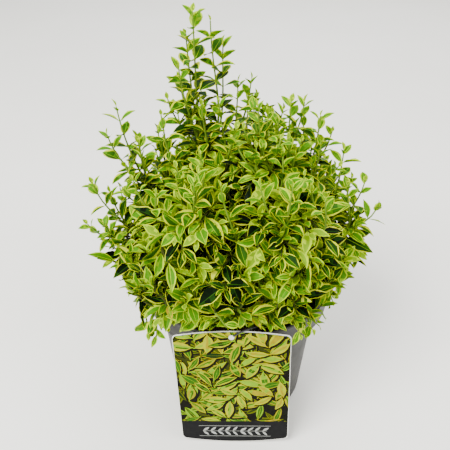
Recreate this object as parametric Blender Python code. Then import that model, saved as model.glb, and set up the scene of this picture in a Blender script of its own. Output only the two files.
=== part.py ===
# A young wintercreeper euonymus in a round nursery pot, with its picture label on the rim.
# Metres, +Z up. The origin is the middle of the pot's flat underside, and -Y is the front.

import math
import random

import bmesh
import bpy
from mathutils import Quaternion, Vector
from mathutils.bvhtree import BVHTree

UP = Vector((0, 0, 1))
GAP = 0.0003                    # between two pieces that meet

# Pot: a thin-walled tapered pot with a wider, upright collar
POT_HEIGHT = 0.150
POT_RIM_RADIUS = 0.095
POT_FOOT_RADIUS = 0.071
POT_NECK_RADIUS = 0.0830        # outside, just under the collar
POT_COLLAR_HEIGHT = 0.024
POT_WALL = 0.0022
POT_FLOOR = 0.0030
POT_EDGE = 0.0030               # rounding where the wall meets the floor
POT_LIP = 0.0006                # the collar flares by this much at its top
POT_SIDES = 32

# Potting soil that fills the pot
SOIL_LEVEL = 0.1330
SOIL_SAG = 0.0035               # lower at the wall than round the stem
SOIL_FLAT_RADIUS = 0.030

# Label: an upright card in front of the pot, on a clip that hooks over the rim
LABEL_WIDTH = 0.110
LABEL_HEIGHT = 0.158
LABEL_FOOT = 0.0015             # its lowest point above the ground
LABEL_ARCH = 0.005              # the top and bottom edges bulge by this much
LABEL_CORNER = 0.0045
LABEL_THICKNESS = 0.0010
LABEL_HOLE_RADIUS = 0.0022
LABEL_HOLE_BELOW_TOP = 0.0065
LABEL_CENTRE_X = -0.006
LABEL_TURN = 1.2                # degrees; hung by one hole, it turns a little in its own plane
LABEL_SWING = 1.4               # degrees; and its left side swings in towards the pot
LABEL_PLAY = 0.0005             # room for that between the card and its clip
LABEL_VIEW = 0.97               # leaves in front of it rise this steeply, and leave it in view
CLIP_WIDTH = 0.014
CLIP_THICKNESS = 0.0012
CLIP_DEPTH = 0.016              # how far each leg reaches down from the rim
CLIP_TAB_RISE = 0.0055          # how far its tab stands above the strap, to hold the peg
PEG_RADIUS = 0.0018
PEG_HEAD_RADIUS = 0.0030
PEG_HEAD_THICKNESS = 0.0014
PEG_SIDES = 12

# Woody frame: a short main stem and one bough to each mass of foliage
STEM_HEIGHT = 0.050
STEM_FOOT_RADIUS = 0.0115
STEM_RADIUS = 0.0075
STEM_TOP_RADIUS = 0.0060
STEM_LEAN = Vector((-0.0030, 0.0015, 0))
STEM_FLARE = 0.004              # height over which the flare at its foot dies away
STEM_SIDES = 10
BOUGH_RADIUS = 0.0023
BOUGH_TIP_RADIUS = 0.0016
BOUGH_SIDES = 5
BOUGH_STEPS = 5
BOUGH_EASE = 0.35               # of its span, how long it keeps to the way it sets off
# Each tier of boughs: the start of its masses' names, how high above the soil its boughs
# leave the stem in turn, and how steeply
TIERS = (
    ("foliage_skirt", (0.013, 0.019), 0.35),
    ("foliage_inner", (0.028, 0.028), 0.60),
    ("foliage_top", (0.037, 0.045), 0.90),
)

# Foliage: three-sided twigs that branch from the stem of each mass, with pairs of leaves
MASS_STEM_RADIUS = 0.0017
MASS_RISE = 0.5                 # how much a mass turns up from straight out
MASS_STEM_REACH = 0.024         # from the end of the bough to the middle of the mass
MASS_STEM_PAST = 0.004          # and on past the middle
TWIG_RADIUS = 0.0014
TWIG_TIP_RADIUS = 0.0009
TWIG_REACH = 0.036              # from the middle of a mass to the tips of its twigs
TWIG_TRIES = 4                  # each shorter than the one before
TWIG_SHORTER = 0.14
TWIG_LOOSENESS = 0.3            # radians that a twig turns at random, more at each try
TWIG_LEANS = (25, 70)           # degrees off the mass's axis: the least, and the range
TWIG_FORK = 0.75                # how far up the stem of the mass the twigs leave it
TWIG_SAG = 0.5                  # of its rise, how far it sets off below the straight line
TWIG_EASES = (0.4, 0.3)         # of its length, how long it keeps each end's direction
TWIG_STEPS = 2                  # straight stretches in a short twig
SHOOT_STEPS = 3                 # and in an upright shoot
LEAF_LENGTH = 0.036
LEAF_WIDTH = 0.0195
LEAF_THICKNESS = 0.0011
LEAF_WIDEST = 0.45              # of its length, from the root
LEAF_FOLD = 0.0022              # how far the edges stand above the midrib
LEAF_ROOT = 0.0004              # the root lies this far past the middle of the twig
LEAF_FREE = 0.10                # from here on along its length a leaf crosses no other
LEAF_TRIES = 8
LEAF_LOOSENESS = 0.25           # radians that a leaf turns at random, more at each try
LEAF_SPACING = 0.0190           # between the pairs along a twig
LEAF_ANGLE = 52                 # degrees between a leaf and its twig
LEAF_VARIES = 0.1               # of its length, up and down
YOUNG_LENGTH = 0.75             # the pair at a twig's tip, beside the other leaves
YOUNG_ANGLE = 0.6
BARE_SHARE = 0.35               # of a twig's length, from its foot
LAST_NODE = 0.985               # the pair at the tip sits just below it
SHOOT_LEAF_SHARE = 0.58         # of the length of the other leaves
SHOOT_SPACING = 0.0235
CORE_RADIUS = 0.0180
CORE_LUMPS = 0.16               # of its radius, in and out
CORE_PAIRS = 5                  # pairs of leaves that stand out of a core
CORE_LEAF_ANGLE = 54            # degrees between such a leaf and the way straight out
CORE_LEAF_ROOT = 0.75           # of the core's radius
CROWN_FOOT_RADIUS = 0.104       # how far leaves reach at the height of the rim
CROWN_SPREAD = 0.95             # and how much further for each metre above it
CROWN_CENTRE_X = -0.005
CROWN_LEAN = 0.6                # how far its middle moves back for each metre above the rim
CROWN_FOOT = 0.126              # no leaf hangs lower than this
SPACE_MARGIN = 0.0004           # a mass keeps this far inside its own space
LIMB_MARGIN = 0.0012
NEAR_LIMBS = 0.17               # limbs further than this from a mass can't touch it
RIM_MARGIN = 0.0030
MASS_TRIES = 4                  # a mass whose solid isn't closed grows from another seed
WELD = 1e-6
GOLDEN_ANGLE = math.radians(137.508)

# Each mass: the middle of its space, its twigs, whether it is dense enough for a core, and
# the tips of its upright shoots
MASSES = {
    "foliage_heart": ((-0.002, 0.002, 0.236), 7, False, ()),
    "foliage_top_crest": ((-0.034, 0.010, 0.285), 2, True,
                          ((-0.037, 0.004, 0.408), (-0.023, 0.010, 0.400), (-0.050, 0.016, 0.386),
                           (-0.013, 0.022, 0.382), (-0.050, -0.006, 0.366))),
    "foliage_top_centre": ((0.018, -0.016, 0.276), 3, True,
                           ((0.000, -0.022, 0.350), (0.016, -0.012, 0.352))),
    "foliage_top_left": ((-0.083, -0.008, 0.254), 3, True,
                         ((-0.106, -0.006, 0.334), (-0.071, -0.004, 0.334), (-0.090, -0.024, 0.298))),
    "foliage_top_right": ((0.067, 0.010, 0.260), 3, True,
                          ((0.047, 0.004, 0.334), (0.060, 0.014, 0.337), (0.074, 0.004, 0.328),
                           (0.087, 0.012, 0.310))),
    "foliage_top_back_left": ((-0.048, 0.062, 0.252), 3, True,
                              ((-0.036, 0.070, 0.318), (-0.062, 0.076, 0.300))),
    "foliage_top_back_right": ((0.030, 0.064, 0.256), 3, True,
                               ((0.018, 0.064, 0.322), (0.046, 0.078, 0.300))),
    "foliage_top_front_left": ((-0.036, -0.060, 0.244), 3, True, ((-0.052, -0.058, 0.298),)),
    "foliage_top_front_right": ((0.038, -0.062, 0.240), 3, True, ((0.044, -0.064, 0.290),)),
    "foliage_inner_front_left": ((-0.040, -0.040, 0.192), 2, True, ()),
    "foliage_inner_front_right": ((0.036, -0.042, 0.192), 2, True, ()),
    "foliage_inner_back_right": ((0.040, 0.036, 0.196), 2, True, ()),
    "foliage_inner_back_left": ((-0.040, 0.038, 0.196), 2, True, ()),
    "foliage_skirt_right": ((0.086, -0.002, 0.198), 4, True,
                            ((0.122, 0.000, 0.258), (0.103, -0.014, 0.262), (0.130, -0.012, 0.234))),
    "foliage_skirt_back_right": ((0.068, 0.064, 0.190), 4, True, ()),
    "foliage_skirt_back": ((-0.004, 0.092, 0.190), 4, True, ((0.002, 0.134, 0.214),)),
    "foliage_skirt_back_left": ((-0.074, 0.060, 0.190), 4, True, ()),
    "foliage_skirt_left": ((-0.098, -0.010, 0.194), 4, True,
                           ((-0.139, -0.008, 0.258), (-0.149, -0.016, 0.222))),
    "foliage_skirt_front_left": ((-0.068, -0.072, 0.182), 4, True, ()),
    "foliage_skirt_front": ((-0.002, -0.094, 0.184), 4, True, ()),
    "foliage_skirt_front_right": ((0.062, -0.070, 0.182), 4, True, ()),
}

LEAF_COLOUR = (0.36, 0.50, 0.06)


def clear_scene():
    for item in list(bpy.data.objects):
        bpy.data.objects.remove(item)


def make_material(name, colour, roughness):
    material = bpy.data.materials.new(name)
    material.use_nodes = True
    shader = material.node_tree.nodes["Principled BSDF"]
    shader.inputs["Base Color"].default_value = (*colour, 1)
    shader.inputs["Roughness"].default_value = roughness
    shader.inputs["Metallic"].default_value = 0
    material.diffuse_color = (*colour, 1)
    return material


def add_object(name, shape, colour=None, roughness=0.5, sharp_angle=None):
    """Turns a bmesh into a named object, with a material of its own if it has a colour."""
    bmesh.ops.recalc_face_normals(shape, faces=shape.faces)
    mesh = bpy.data.meshes.new(name)
    shape.to_mesh(mesh)
    shape.free()
    if sharp_angle is not None:
        mesh.shade_smooth()
        mesh.set_sharp_from_angle(angle=math.radians(sharp_angle))
    if colour is not None:
        mesh.materials.append(make_material(name, colour, roughness))
    item = bpy.data.objects.new(name, mesh)
    bpy.context.scene.collection.objects.link(item)
    return item


def turned_shape(profile, sides):
    """Spins an outline of (radius, height) points, which starts and ends on the axis."""
    shape = bmesh.new()
    points = [shape.verts.new((radius, 0, height)) for radius, height in profile]
    edges = [shape.edges.new(pair) for pair in zip(points, points[1:])]
    bmesh.ops.spin(shape, geom=points + edges, cent=(0, 0, 0), axis=UP,
                   angle=math.tau, steps=sides, use_merge=True)
    bmesh.ops.remove_doubles(shape, verts=shape.verts, dist=1e-6)
    return shape


def tube_shape(points, radii, sides, level=False):
    """A limb with flat ends, skinned round a row of points; its rings may all lie level."""
    shape = bmesh.new()
    upright = level or abs((points[1] - points[0]).normalized().z) > 0.9
    across = Vector((1, 0, 0)) if upright else UP
    rings = []
    for index, point in enumerate(points):
        before = points[max(index - 1, 0)]
        after = points[min(index + 1, len(points) - 1)]
        along = UP if level else (after - before).normalized()
        across = (across - along * across.dot(along)).normalized()
        other = along.cross(across)
        ring = []
        for corner in range(sides):
            turn = math.tau * corner / sides
            offset = across * math.cos(turn) + other * math.sin(turn)
            ring.append(shape.verts.new(point + offset * radii[index]))
        rings.append(ring)
    for lower, upper in zip(rings, rings[1:]):
        for corner in range(sides):
            following = (corner + 1) % sides
            shape.faces.new((lower[corner], lower[following], upper[following], upper[corner]))
    shape.faces.new(reversed(rings[0]))
    shape.faces.new(rings[-1])
    return shape


def blend(first, second, share):
    return first + (second - first) * share


def curve_points(start, leave, arrive, end, steps):
    """Points along a smooth curve that leaves and arrives by way of two handles."""
    points = []
    for step in range(steps + 1):
        share = step / steps
        rest = 1 - share
        points.append(start * rest ** 3 + leave * (3 * rest ** 2 * share)
                      + arrive * (3 * rest * share ** 2) + end * share ** 3)
    return points


def build_pot():
    collar_foot = POT_HEIGHT - POT_COLLAR_HEIGHT
    shoulder = collar_foot - POT_WALL
    outside = [
        (0, 0),
        (POT_FOOT_RADIUS - POT_EDGE, 0),
        (POT_FOOT_RADIUS, POT_EDGE),
        (POT_NECK_RADIUS, shoulder),
        (POT_RIM_RADIUS - POT_LIP, collar_foot),
        (POT_RIM_RADIUS, POT_HEIGHT - POT_WALL / 2),
        (POT_RIM_RADIUS - POT_WALL / 4, POT_HEIGHT),
    ]
    inside = [
        (POT_RIM_RADIUS - POT_WALL, POT_HEIGHT),
        (POT_RIM_RADIUS - POT_LIP - POT_WALL, collar_foot + POT_WALL),
        (POT_NECK_RADIUS - POT_WALL, shoulder + POT_WALL),
        (POT_FOOT_RADIUS - POT_WALL, POT_EDGE + POT_FLOOR),
        (POT_FOOT_RADIUS - POT_EDGE - POT_WALL, POT_FLOOR),
        (0, POT_FLOOR),
    ]
    shape = turned_shape(outside + inside, POT_SIDES)
    return add_object("pot", shape, (0.13, 0.13, 0.13), 0.45, sharp_angle=40)


def soil_radius(height):
    """The pot's inner radius at a height in the body of the pot, less the gap."""
    shoulder = POT_HEIGHT - POT_COLLAR_HEIGHT
    share = (height - POT_EDGE - POT_FLOOR) / (shoulder - POT_EDGE - POT_FLOOR)
    inner_foot = POT_FOOT_RADIUS - POT_WALL
    inner_neck = POT_NECK_RADIUS - POT_WALL
    return inner_foot + (inner_neck - inner_foot) * share - 2 * GAP


def build_soil():
    floor = POT_FLOOR + GAP
    shoulder = POT_HEIGHT - POT_COLLAR_HEIGHT
    inner_collar = POT_RIM_RADIUS - POT_LIP - POT_WALL - 2 * GAP
    edge_level = SOIL_LEVEL - SOIL_SAG
    profile = [
        (0, floor),
        (POT_FOOT_RADIUS - POT_EDGE - POT_WALL - GAP, floor),
        (soil_radius(POT_EDGE + POT_FLOOR), POT_EDGE + POT_FLOOR),
        (soil_radius(shoulder), shoulder + GAP),
        (inner_collar, shoulder + POT_WALL + 2 * GAP),
        (inner_collar, edge_level),
        ((inner_collar + SOIL_FLAT_RADIUS) / 2, SOIL_LEVEL - SOIL_SAG / 3),
        (SOIL_FLAT_RADIUS, SOIL_LEVEL),
        (0, SOIL_LEVEL),
    ]
    shape = turned_shape(profile, POT_SIDES)
    return add_object("potting_soil", shape, (0.045, 0.028, 0.018), 0.95)


def label_back():
    """Y of the face of the card that looks at the pot, at its hole."""
    return -(POT_RIM_RADIUS + GAP + CLIP_THICKNESS + LABEL_PLAY)


def label_outline():
    """The card's outline round its hole: arched top and bottom edges, rounded corners."""
    half = LABEL_WIDTH / 2
    straight = half - LABEL_CORNER
    side_top = LABEL_HEIGHT - LABEL_ARCH - LABEL_CORNER
    side_foot = LABEL_ARCH + LABEL_CORNER
    points = []
    for side, foot in ((1, False), (-1, True)):
        height = side_foot if foot else side_top
        turn_up = -1 if foot else 1
        for step in range(4):
            turn = math.radians(30 * step)
            points.append((side * (straight + LABEL_CORNER * math.cos(turn)),
                           height + turn_up * LABEL_CORNER * math.sin(turn)))
        for step in range(1, 6):
            share = 1 - step / 3
            bulge = LABEL_ARCH * (1 - share ** 2)
            edge = height + turn_up * (LABEL_CORNER + bulge)
            points.append((side * straight * share, edge))
        for step in range(4):
            turn = math.radians(90 - 30 * step)
            points.append((-side * (straight + LABEL_CORNER * math.cos(turn)),
                           height + turn_up * LABEL_CORNER * math.sin(turn)))
    hole = LABEL_HEIGHT - LABEL_HOLE_BELOW_TOP
    return [(x, z - hole) for x, z in points]


def label_hole_height():
    return LABEL_FOOT + LABEL_HEIGHT - LABEL_HOLE_BELOW_TOP


def build_label():
    shape = bmesh.new()
    face = shape.faces.new([shape.verts.new((x, 0, z)) for x, z in label_outline()])
    grown = bmesh.ops.extrude_face_region(shape, geom=[face])
    front = [item for item in grown["geom"] if isinstance(item, bmesh.types.BMVert)]
    bmesh.ops.translate(shape, verts=front, vec=(0, -LABEL_THICKNESS, 0))
    card = add_object("label_card", shape, (0.30, 0.36, 0.04), 0.30)
    card.location = (LABEL_CENTRE_X, label_back(), label_hole_height())
    card.rotation_euler = (0, -math.radians(LABEL_TURN), -math.radians(LABEL_SWING))

    bpy.ops.mesh.primitive_cylinder_add(
        vertices=12, radius=LABEL_HOLE_RADIUS, depth=4 * LABEL_THICKNESS,
        location=card.location - Vector((0, LABEL_THICKNESS / 2, 0)),
        rotation=(math.pi / 2, 0, 0))
    punch = bpy.context.object
    punch.name = "guide_label_hole"
    punch.hide_render = True
    punch.display_type = "WIRE"
    cut = card.modifiers.new("hole", "BOOLEAN")
    cut.operation = "DIFFERENCE"
    cut.object = punch
    return card


def build_label_clip():
    """A strap over the rim, with a peg that holds the card through its hole."""
    rim_out = POT_RIM_RADIUS + GAP
    # The straight strap is a chord of the round rim, so its inner leg stands further in
    flat = (POT_RIM_RADIUS - POT_WALL - POT_LIP) * math.cos(math.pi / POT_SIDES)
    far_side = abs(LABEL_CENTRE_X) + CLIP_WIDTH / 2
    rim_in = math.sqrt(flat ** 2 - far_side ** 2) - GAP
    top = POT_HEIGHT + GAP
    foot = POT_HEIGHT - CLIP_DEPTH
    outline = [
        (-rim_out, foot),
        (-rim_out, top),
        (-rim_in, top),
        (-rim_in, foot),
        (-rim_in + CLIP_THICKNESS, foot),
        (-rim_in + CLIP_THICKNESS, top + CLIP_THICKNESS),
        (-rim_out, top + CLIP_THICKNESS),
        (-rim_out, top + CLIP_THICKNESS + CLIP_TAB_RISE),
        (-rim_out - CLIP_THICKNESS, top + CLIP_THICKNESS + CLIP_TAB_RISE),
        (-rim_out - CLIP_THICKNESS, foot),
    ]
    shape = bmesh.new()
    side = LABEL_CENTRE_X - CLIP_WIDTH / 2
    face = shape.faces.new([shape.verts.new((side, y, z)) for y, z in outline])
    grown = bmesh.ops.extrude_face_region(shape, geom=[face])
    far = [item for item in grown["geom"] if isinstance(item, bmesh.types.BMVert)]
    bmesh.ops.translate(shape, verts=far, vec=(CLIP_WIDTH, 0, 0))
    clip = add_object("label_clip", shape, (0.04, 0.04, 0.04), 0.45)

    front = label_back() - LABEL_THICKNESS - LABEL_PLAY
    centre = Vector((LABEL_CENTRE_X, 0, label_hole_height()))
    shank = [centre + Vector((0, y, 0)) for y in (-rim_out - CLIP_THICKNESS / 2, front - GAP)]
    head = [centre + Vector((0, y, 0)) for y in (front, front - PEG_HEAD_THICKNESS)]
    pieces = []
    for name, ends, radius in (("shank", shank, PEG_RADIUS), ("head", head, PEG_HEAD_RADIUS)):
        pieces.append(add_object(name, tube_shape(ends, (radius, radius), PEG_SIDES)))
    fuse(clip, pieces)
    return clip


def stem_radius(height):
    """The main stem's radius, with a flare at its foot."""
    flare = (STEM_FOOT_RADIUS - STEM_RADIUS) * math.exp(-height / STEM_FLARE)
    share = height / STEM_HEIGHT
    return STEM_RADIUS + (STEM_TOP_RADIUS - STEM_RADIUS) * share + flare


def stem_centre(height):
    return STEM_LEAN * (height / STEM_HEIGHT) + UP * (SOIL_LEVEL + GAP + height)


def build_main_stem():
    heights = [0, 0.002, 0.005, 0.010, 0.020, 0.030, 0.040, STEM_HEIGHT]
    points = [stem_centre(height) for height in heights]
    radii = [stem_radius(height) for height in heights]
    shape = tube_shape(points, radii, STEM_SIDES, level=True)
    return add_object("main_stem", shape, (0.16, 0.12, 0.07), 0.80, sharp_angle=50)


def bearing(point):
    return math.atan2(point.y, point.x)


def mass_axis(centre):
    """The way a mass grows: out from the fork and turned upwards."""
    outward = (centre - stem_centre(STEM_HEIGHT)).normalized()
    return (outward + UP * MASS_RISE).normalized()


def bough_plan():
    """For each mass, the row of points and the radii of the bough that leads to it."""
    plan = {}
    for tier, heights, rise in TIERS:
        names = [name for name in MASSES if name.startswith(tier)]
        names.sort(key=lambda name: bearing(Vector(MASSES[name][0])))
        for index, name in enumerate(names):
            centre = Vector(MASSES[name][0])
            height = heights[index % 2]
            # Evenly spaced at the stem, in the order of the masses round the crown
            first = bearing(Vector(MASSES[names[0]][0]))
            turn = first + math.tau * index / len(names)
            outward = Vector((math.cos(turn), math.sin(turn), 0))
            leave_way = (outward + UP * rise).normalized()
            lean_in = BOUGH_RADIUS * leave_way.z
            start = stem_centre(height) + outward * (stem_radius(height) + GAP + lean_in)
            end = centre - mass_axis(centre) * MASS_STEM_REACH
            span = (end - start).length
            points = curve_points(start, start + leave_way * span * BOUGH_EASE,
                                  end - mass_axis(centre) * span * BOUGH_EASE, end, BOUGH_STEPS)
            radii = [BOUGH_RADIUS + (BOUGH_TIP_RADIUS - BOUGH_RADIUS) * step / BOUGH_STEPS
                     for step in range(BOUGH_STEPS + 1)]
            plan[name] = (points, radii)
    return plan


def build_boughs(plan):
    for name, (points, radii) in plan.items():
        shape = tube_shape(points, radii, BOUGH_SIDES)
        add_object(name.replace("foliage", "bough"), shape, (0.15, 0.16, 0.06), 0.70, sharp_angle=60)


def limb_list(plan):
    """Every straight stretch of the woody frame, as (start, end, radius)."""
    limbs = []
    stem = [stem_centre(STEM_HEIGHT * step / 5) for step in range(6)]
    limbs += [(low, high, STEM_RADIUS + LIMB_MARGIN) for low, high in zip(stem, stem[1:])]
    for points, radii in plan.values():
        limbs += list(zip(points, points[1:], radii))
    return limbs


def distance_to_segment(point, start, end):
    along = end - start
    share = (point - start).dot(along) / along.length_squared
    return (point - (start + along * min(max(share, 0), 1))).length


class Space:
    """The room that one mass keeps to."""

    def __init__(self, name, limbs):
        self.centre = Vector(MASSES[name][0])
        self.others = [Vector(row[0]) for other, row in MASSES.items() if other != name]
        self.limbs = [limb for limb in limbs if (limb[0] - self.centre).length < NEAR_LIMBS]
        self.blades = []

    def is_own(self, point):
        """Nearer to the middle of this mass than to that of any other."""
        own = (point - self.centre).length_squared
        for other in self.others:
            apart = (other - self.centre).length
            if (point - other).length_squared - own < 2 * apart * SPACE_MARGIN:
                return False
        return True

    def is_clear(self, point, thickness):
        """Away from the boughs, the pot and the label."""
        for start, end, radius in self.limbs:
            if distance_to_segment(point, start, end) < radius + thickness + LIMB_MARGIN:
                return False
        around = math.hypot(point.x, point.y)
        above = point.z - POT_HEIGHT
        outside = around > POT_RIM_RADIUS + RIM_MARGIN
        inside = around < POT_NECK_RADIUS and point.z > SOIL_LEVEL + RIM_MARGIN
        if above < RIM_MARGIN and not outside and not inside:
            return False
        higher = max(above, 0)
        out = math.hypot(point.x - CROWN_CENTRE_X, point.y - CROWN_LEAN * higher)
        if point.z < CROWN_FOOT or out > CROWN_FOOT_RADIUS + CROWN_SPREAD * higher:
            return False
        beside = abs(point.x - LABEL_CENTRE_X) < LABEL_WIDTH / 2 + RIM_MARGIN
        in_front = max(label_back() - point.y, 0)
        clear_of_label = LABEL_FOOT + LABEL_HEIGHT + RIM_MARGIN + LABEL_VIEW * in_front
        return not (beside and point.y < -POT_NECK_RADIUS and point.z < clear_of_label)

    def takes(self, corners, inner, thickness):
        return (all(self.is_own(point) for point in corners)
                and all(self.is_clear(point, thickness) for point in corners + inner))

    def adds_blade(self, corners):
        """Keeps a leaf's free part, unless it crosses a leaf that is already there."""
        root, left, tip, right = corners[:4]
        outline = [blend(root, tip, LEAF_FREE), left, tip, right]
        blade = BVHTree.FromPolygons(outline, [(0, 1, 3), (1, 2, 3)])
        if any(blade.overlap(other) for other in self.blades):
            return False
        self.blades.append(blade)
        return True


def leaf_shape(root, along, normal, length, width, thickness):
    """A pointed blade of eight faces, folded a little along its midrib."""
    side = along.cross(normal).normalized()
    widest = root + along * length * LEAF_WIDEST
    fold = normal * LEAF_FOLD * (length / LEAF_LENGTH)
    corners = [
        root,
        widest + side * width / 2 + fold,
        root + along * length,
        widest - side * width / 2 + fold,
        widest + normal * thickness / 2,
        widest - normal * thickness / 2,
    ]
    shape = bmesh.new()
    verts = [shape.verts.new(corner) for corner in corners]
    for first, second in ((0, 1), (1, 2), (2, 3), (3, 0)):
        shape.faces.new((verts[first], verts[second], verts[4]))
        shape.faces.new((verts[second], verts[first], verts[5]))
    return shape, corners


def leaf_samples(corners):
    """Points spread over a blade, to test what it would touch."""
    root, left, tip, right = corners[:4]
    samples = [blend(root, tip, share) for share in (0.3, 0.5, 0.7, 0.85)]
    for edge in (left, right):
        samples += [blend(root, edge, 0.6), blend(edge, tip, 0.5), blend(edge, corners[4], 0.5)]
    return samples


def grow_leaf(space, root, along, normal, length, pieces):
    """Adds a leaf where there is room for it, and says whether there was."""
    base = root - along * LEAF_ROOT
    width = LEAF_WIDTH * length / LEAF_LENGTH
    thickness = LEAF_THICKNESS * length / LEAF_LENGTH
    shape, corners = leaf_shape(base, along, normal, length, width, thickness)
    fits = space.takes(corners[1:], leaf_samples(corners), thickness)
    if not fits or not space.adds_blade(corners):
        shape.free()
        return False
    pieces.append(add_object("leaf", shape))
    return True


def grow_twig(space, draw, start, tip, steps, spacing, leaf_length, pieces):
    """A curved twig that turns upwards, with pairs of leaves set crosswise in turn.

    Where it doesn't fit, nothing grows and the answer is False.
    """
    reach = tip - start
    leave = (reach - UP * reach.z * TWIG_SAG) * TWIG_EASES[0]
    arrive = (reach.normalized() + UP).normalized() * reach.length * TWIG_EASES[1]
    points = curve_points(start, start + leave, tip - arrive, tip, steps)
    inner = [blend(low, high, 0.5) for low, high in zip(points[1:], points[2:])]
    if not space.takes(points[1:], inner, TWIG_RADIUS):
        return False
    radii = [TWIG_RADIUS + (TWIG_TIP_RADIUS - TWIG_RADIUS) * step / steps
             for step in range(steps + 1)]
    pieces.append(add_object("twig", tube_shape(points, radii, 3)))

    length = sum((high - low).length for low, high in zip(points, points[1:]))
    leafy = length * (1 - BARE_SHARE)
    pairs = max(round(leafy / spacing), 1)
    turn = draw.uniform(0, math.pi)
    for pair in range(pairs + 1):
        share = min(1 - (1 - BARE_SHARE) * pair / pairs, LAST_NODE)
        step = min(int(share * steps), steps - 1)
        node = blend(points[step], points[step + 1], share * steps - step)
        way = (points[step + 1] - points[step]).normalized()
        young = pair == 0
        lean = math.radians(LEAF_ANGLE) * (YOUNG_ANGLE if young else 1)
        grown = leaf_length * (YOUNG_LENGTH if young else 1)
        grow_pair(space, draw, node, way, turn, lean, grown, pieces)
        turn += math.pi / 2
    return True


def grow_pair(space, draw, node, way, turn, lean, leaf_length, pieces):
    """Two opposite leaves, each tried a few times where something is in its way."""
    across = way.orthogonal().normalized()
    for half in range(2):
        for attempt in range(LEAF_TRIES):
            loose = LEAF_LOOSENESS * (1 + attempt)
            side = Quaternion(way, turn + math.pi * half + draw.uniform(-loose, loose)) @ across
            tilt = lean + draw.uniform(-loose, loose)
            along = (way * math.cos(tilt) + side * math.sin(tilt)).normalized()
            normal = (way - along * way.dot(along)).normalized()
            length = leaf_length * (1 + draw.uniform(-LEAF_VARIES, LEAF_VARIES))
            if grow_leaf(space, node, along, normal, length, pieces):
                break


def keep_one_body(mesh):
    """Drops loose scraps and fills sealed hollows: the body with the most volume stays."""
    shape = bmesh.new()
    shape.from_mesh(mesh)
    bmesh.ops.remove_doubles(shape, verts=shape.verts, dist=WELD)
    left = set(shape.faces)
    bodies = []
    while left:
        reached = [left.pop()]
        body = list(reached)
        while reached:
            for edge in reached.pop().edges:
                for face in edge.link_faces:
                    if face in left:
                        left.discard(face)
                        body.append(face)
                        reached.append(face)
        volume = sum(face.verts[0].co.dot(face.normal) * face.calc_area() / 3 for face in body)
        bodies.append((volume, body))
    bodies.sort(key=lambda row: row[0], reverse=True)
    for _, body in bodies[1:]:
        bmesh.ops.delete(shape, geom=body, context="FACES")
    closed = (all(edge.is_manifold for edge in shape.edges)
              and all(vert.is_manifold for vert in shape.verts))
    shape.to_mesh(mesh)
    shape.free()
    return closed


def fuse(base, pieces):
    """Joins the pieces to the base by one union, and removes them."""
    collection = bpy.data.collections.new("fusing")
    bpy.context.scene.collection.children.link(collection)
    for piece in pieces:
        collection.objects.link(piece)
    for solver in ("EXACT", "MANIFOLD"):
        union = base.modifiers.new("fuse", "BOOLEAN")
        union.operation = "UNION"
        union.operand_type = "COLLECTION"
        union.collection = collection
        union.solver = solver
        scene = bpy.context.evaluated_depsgraph_get()
        joined = bpy.data.meshes.new_from_object(base.evaluated_get(scene))
        base.modifiers.remove(union)
        closed = keep_one_body(joined)
        if closed:
            break
    joined.name = base.name
    material = base.data.materials[0]
    base.data = joined
    joined.materials.clear()
    joined.materials.append(material)
    for piece in pieces:
        bpy.data.objects.remove(piece)
    bpy.data.collections.remove(collection)
    return closed


def grow_core(space, draw, axis, pieces):
    """The dense inside of a mass: a lumpy ball with pairs of leaves all over it."""
    shape = bmesh.new()
    bmesh.ops.create_icosphere(shape, subdivisions=1, radius=CORE_RADIUS)
    for vert in shape.verts:
        lump = 1 + draw.uniform(-CORE_LUMPS, CORE_LUMPS)
        vert.co = space.centre + vert.co * lump
    pieces.append(add_object("core", shape))
    across = axis.orthogonal().normalized()
    lean = math.radians(CORE_LEAF_ANGLE)
    for pair in range(CORE_PAIRS):
        height = 1 - 2 * (pair + 0.5) / CORE_PAIRS
        side = Quaternion(axis, pair * GOLDEN_ANGLE) @ across
        outward = axis * height + side * math.sqrt(1 - height ** 2)
        root = space.centre + outward * CORE_RADIUS * CORE_LEAF_ROOT
        grow_pair(space, draw, root, outward, draw.uniform(0, math.pi), lean, LEAF_LENGTH, pieces)


def build_mass(name, plan, limbs):
    """One mass of foliage, grown again from another seed where its solid isn't closed."""
    for attempt in range(MASS_TRIES):
        mass, closed = grow_mass(name, plan, limbs, random.Random(f"{name} {attempt}"))
        if closed:
            return mass
        bpy.data.objects.remove(mass)
    raise RuntimeError(f"{name} didn't close")


def mass_foot(name, plan):
    """Where the stem of a mass starts, just clear of its bough or of the main stem."""
    if name not in plan:
        return stem_centre(STEM_HEIGHT) + UP * GAP
    last, tip = plan[name][0][-2:]
    return tip + (tip - last).normalized() * GAP


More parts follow.
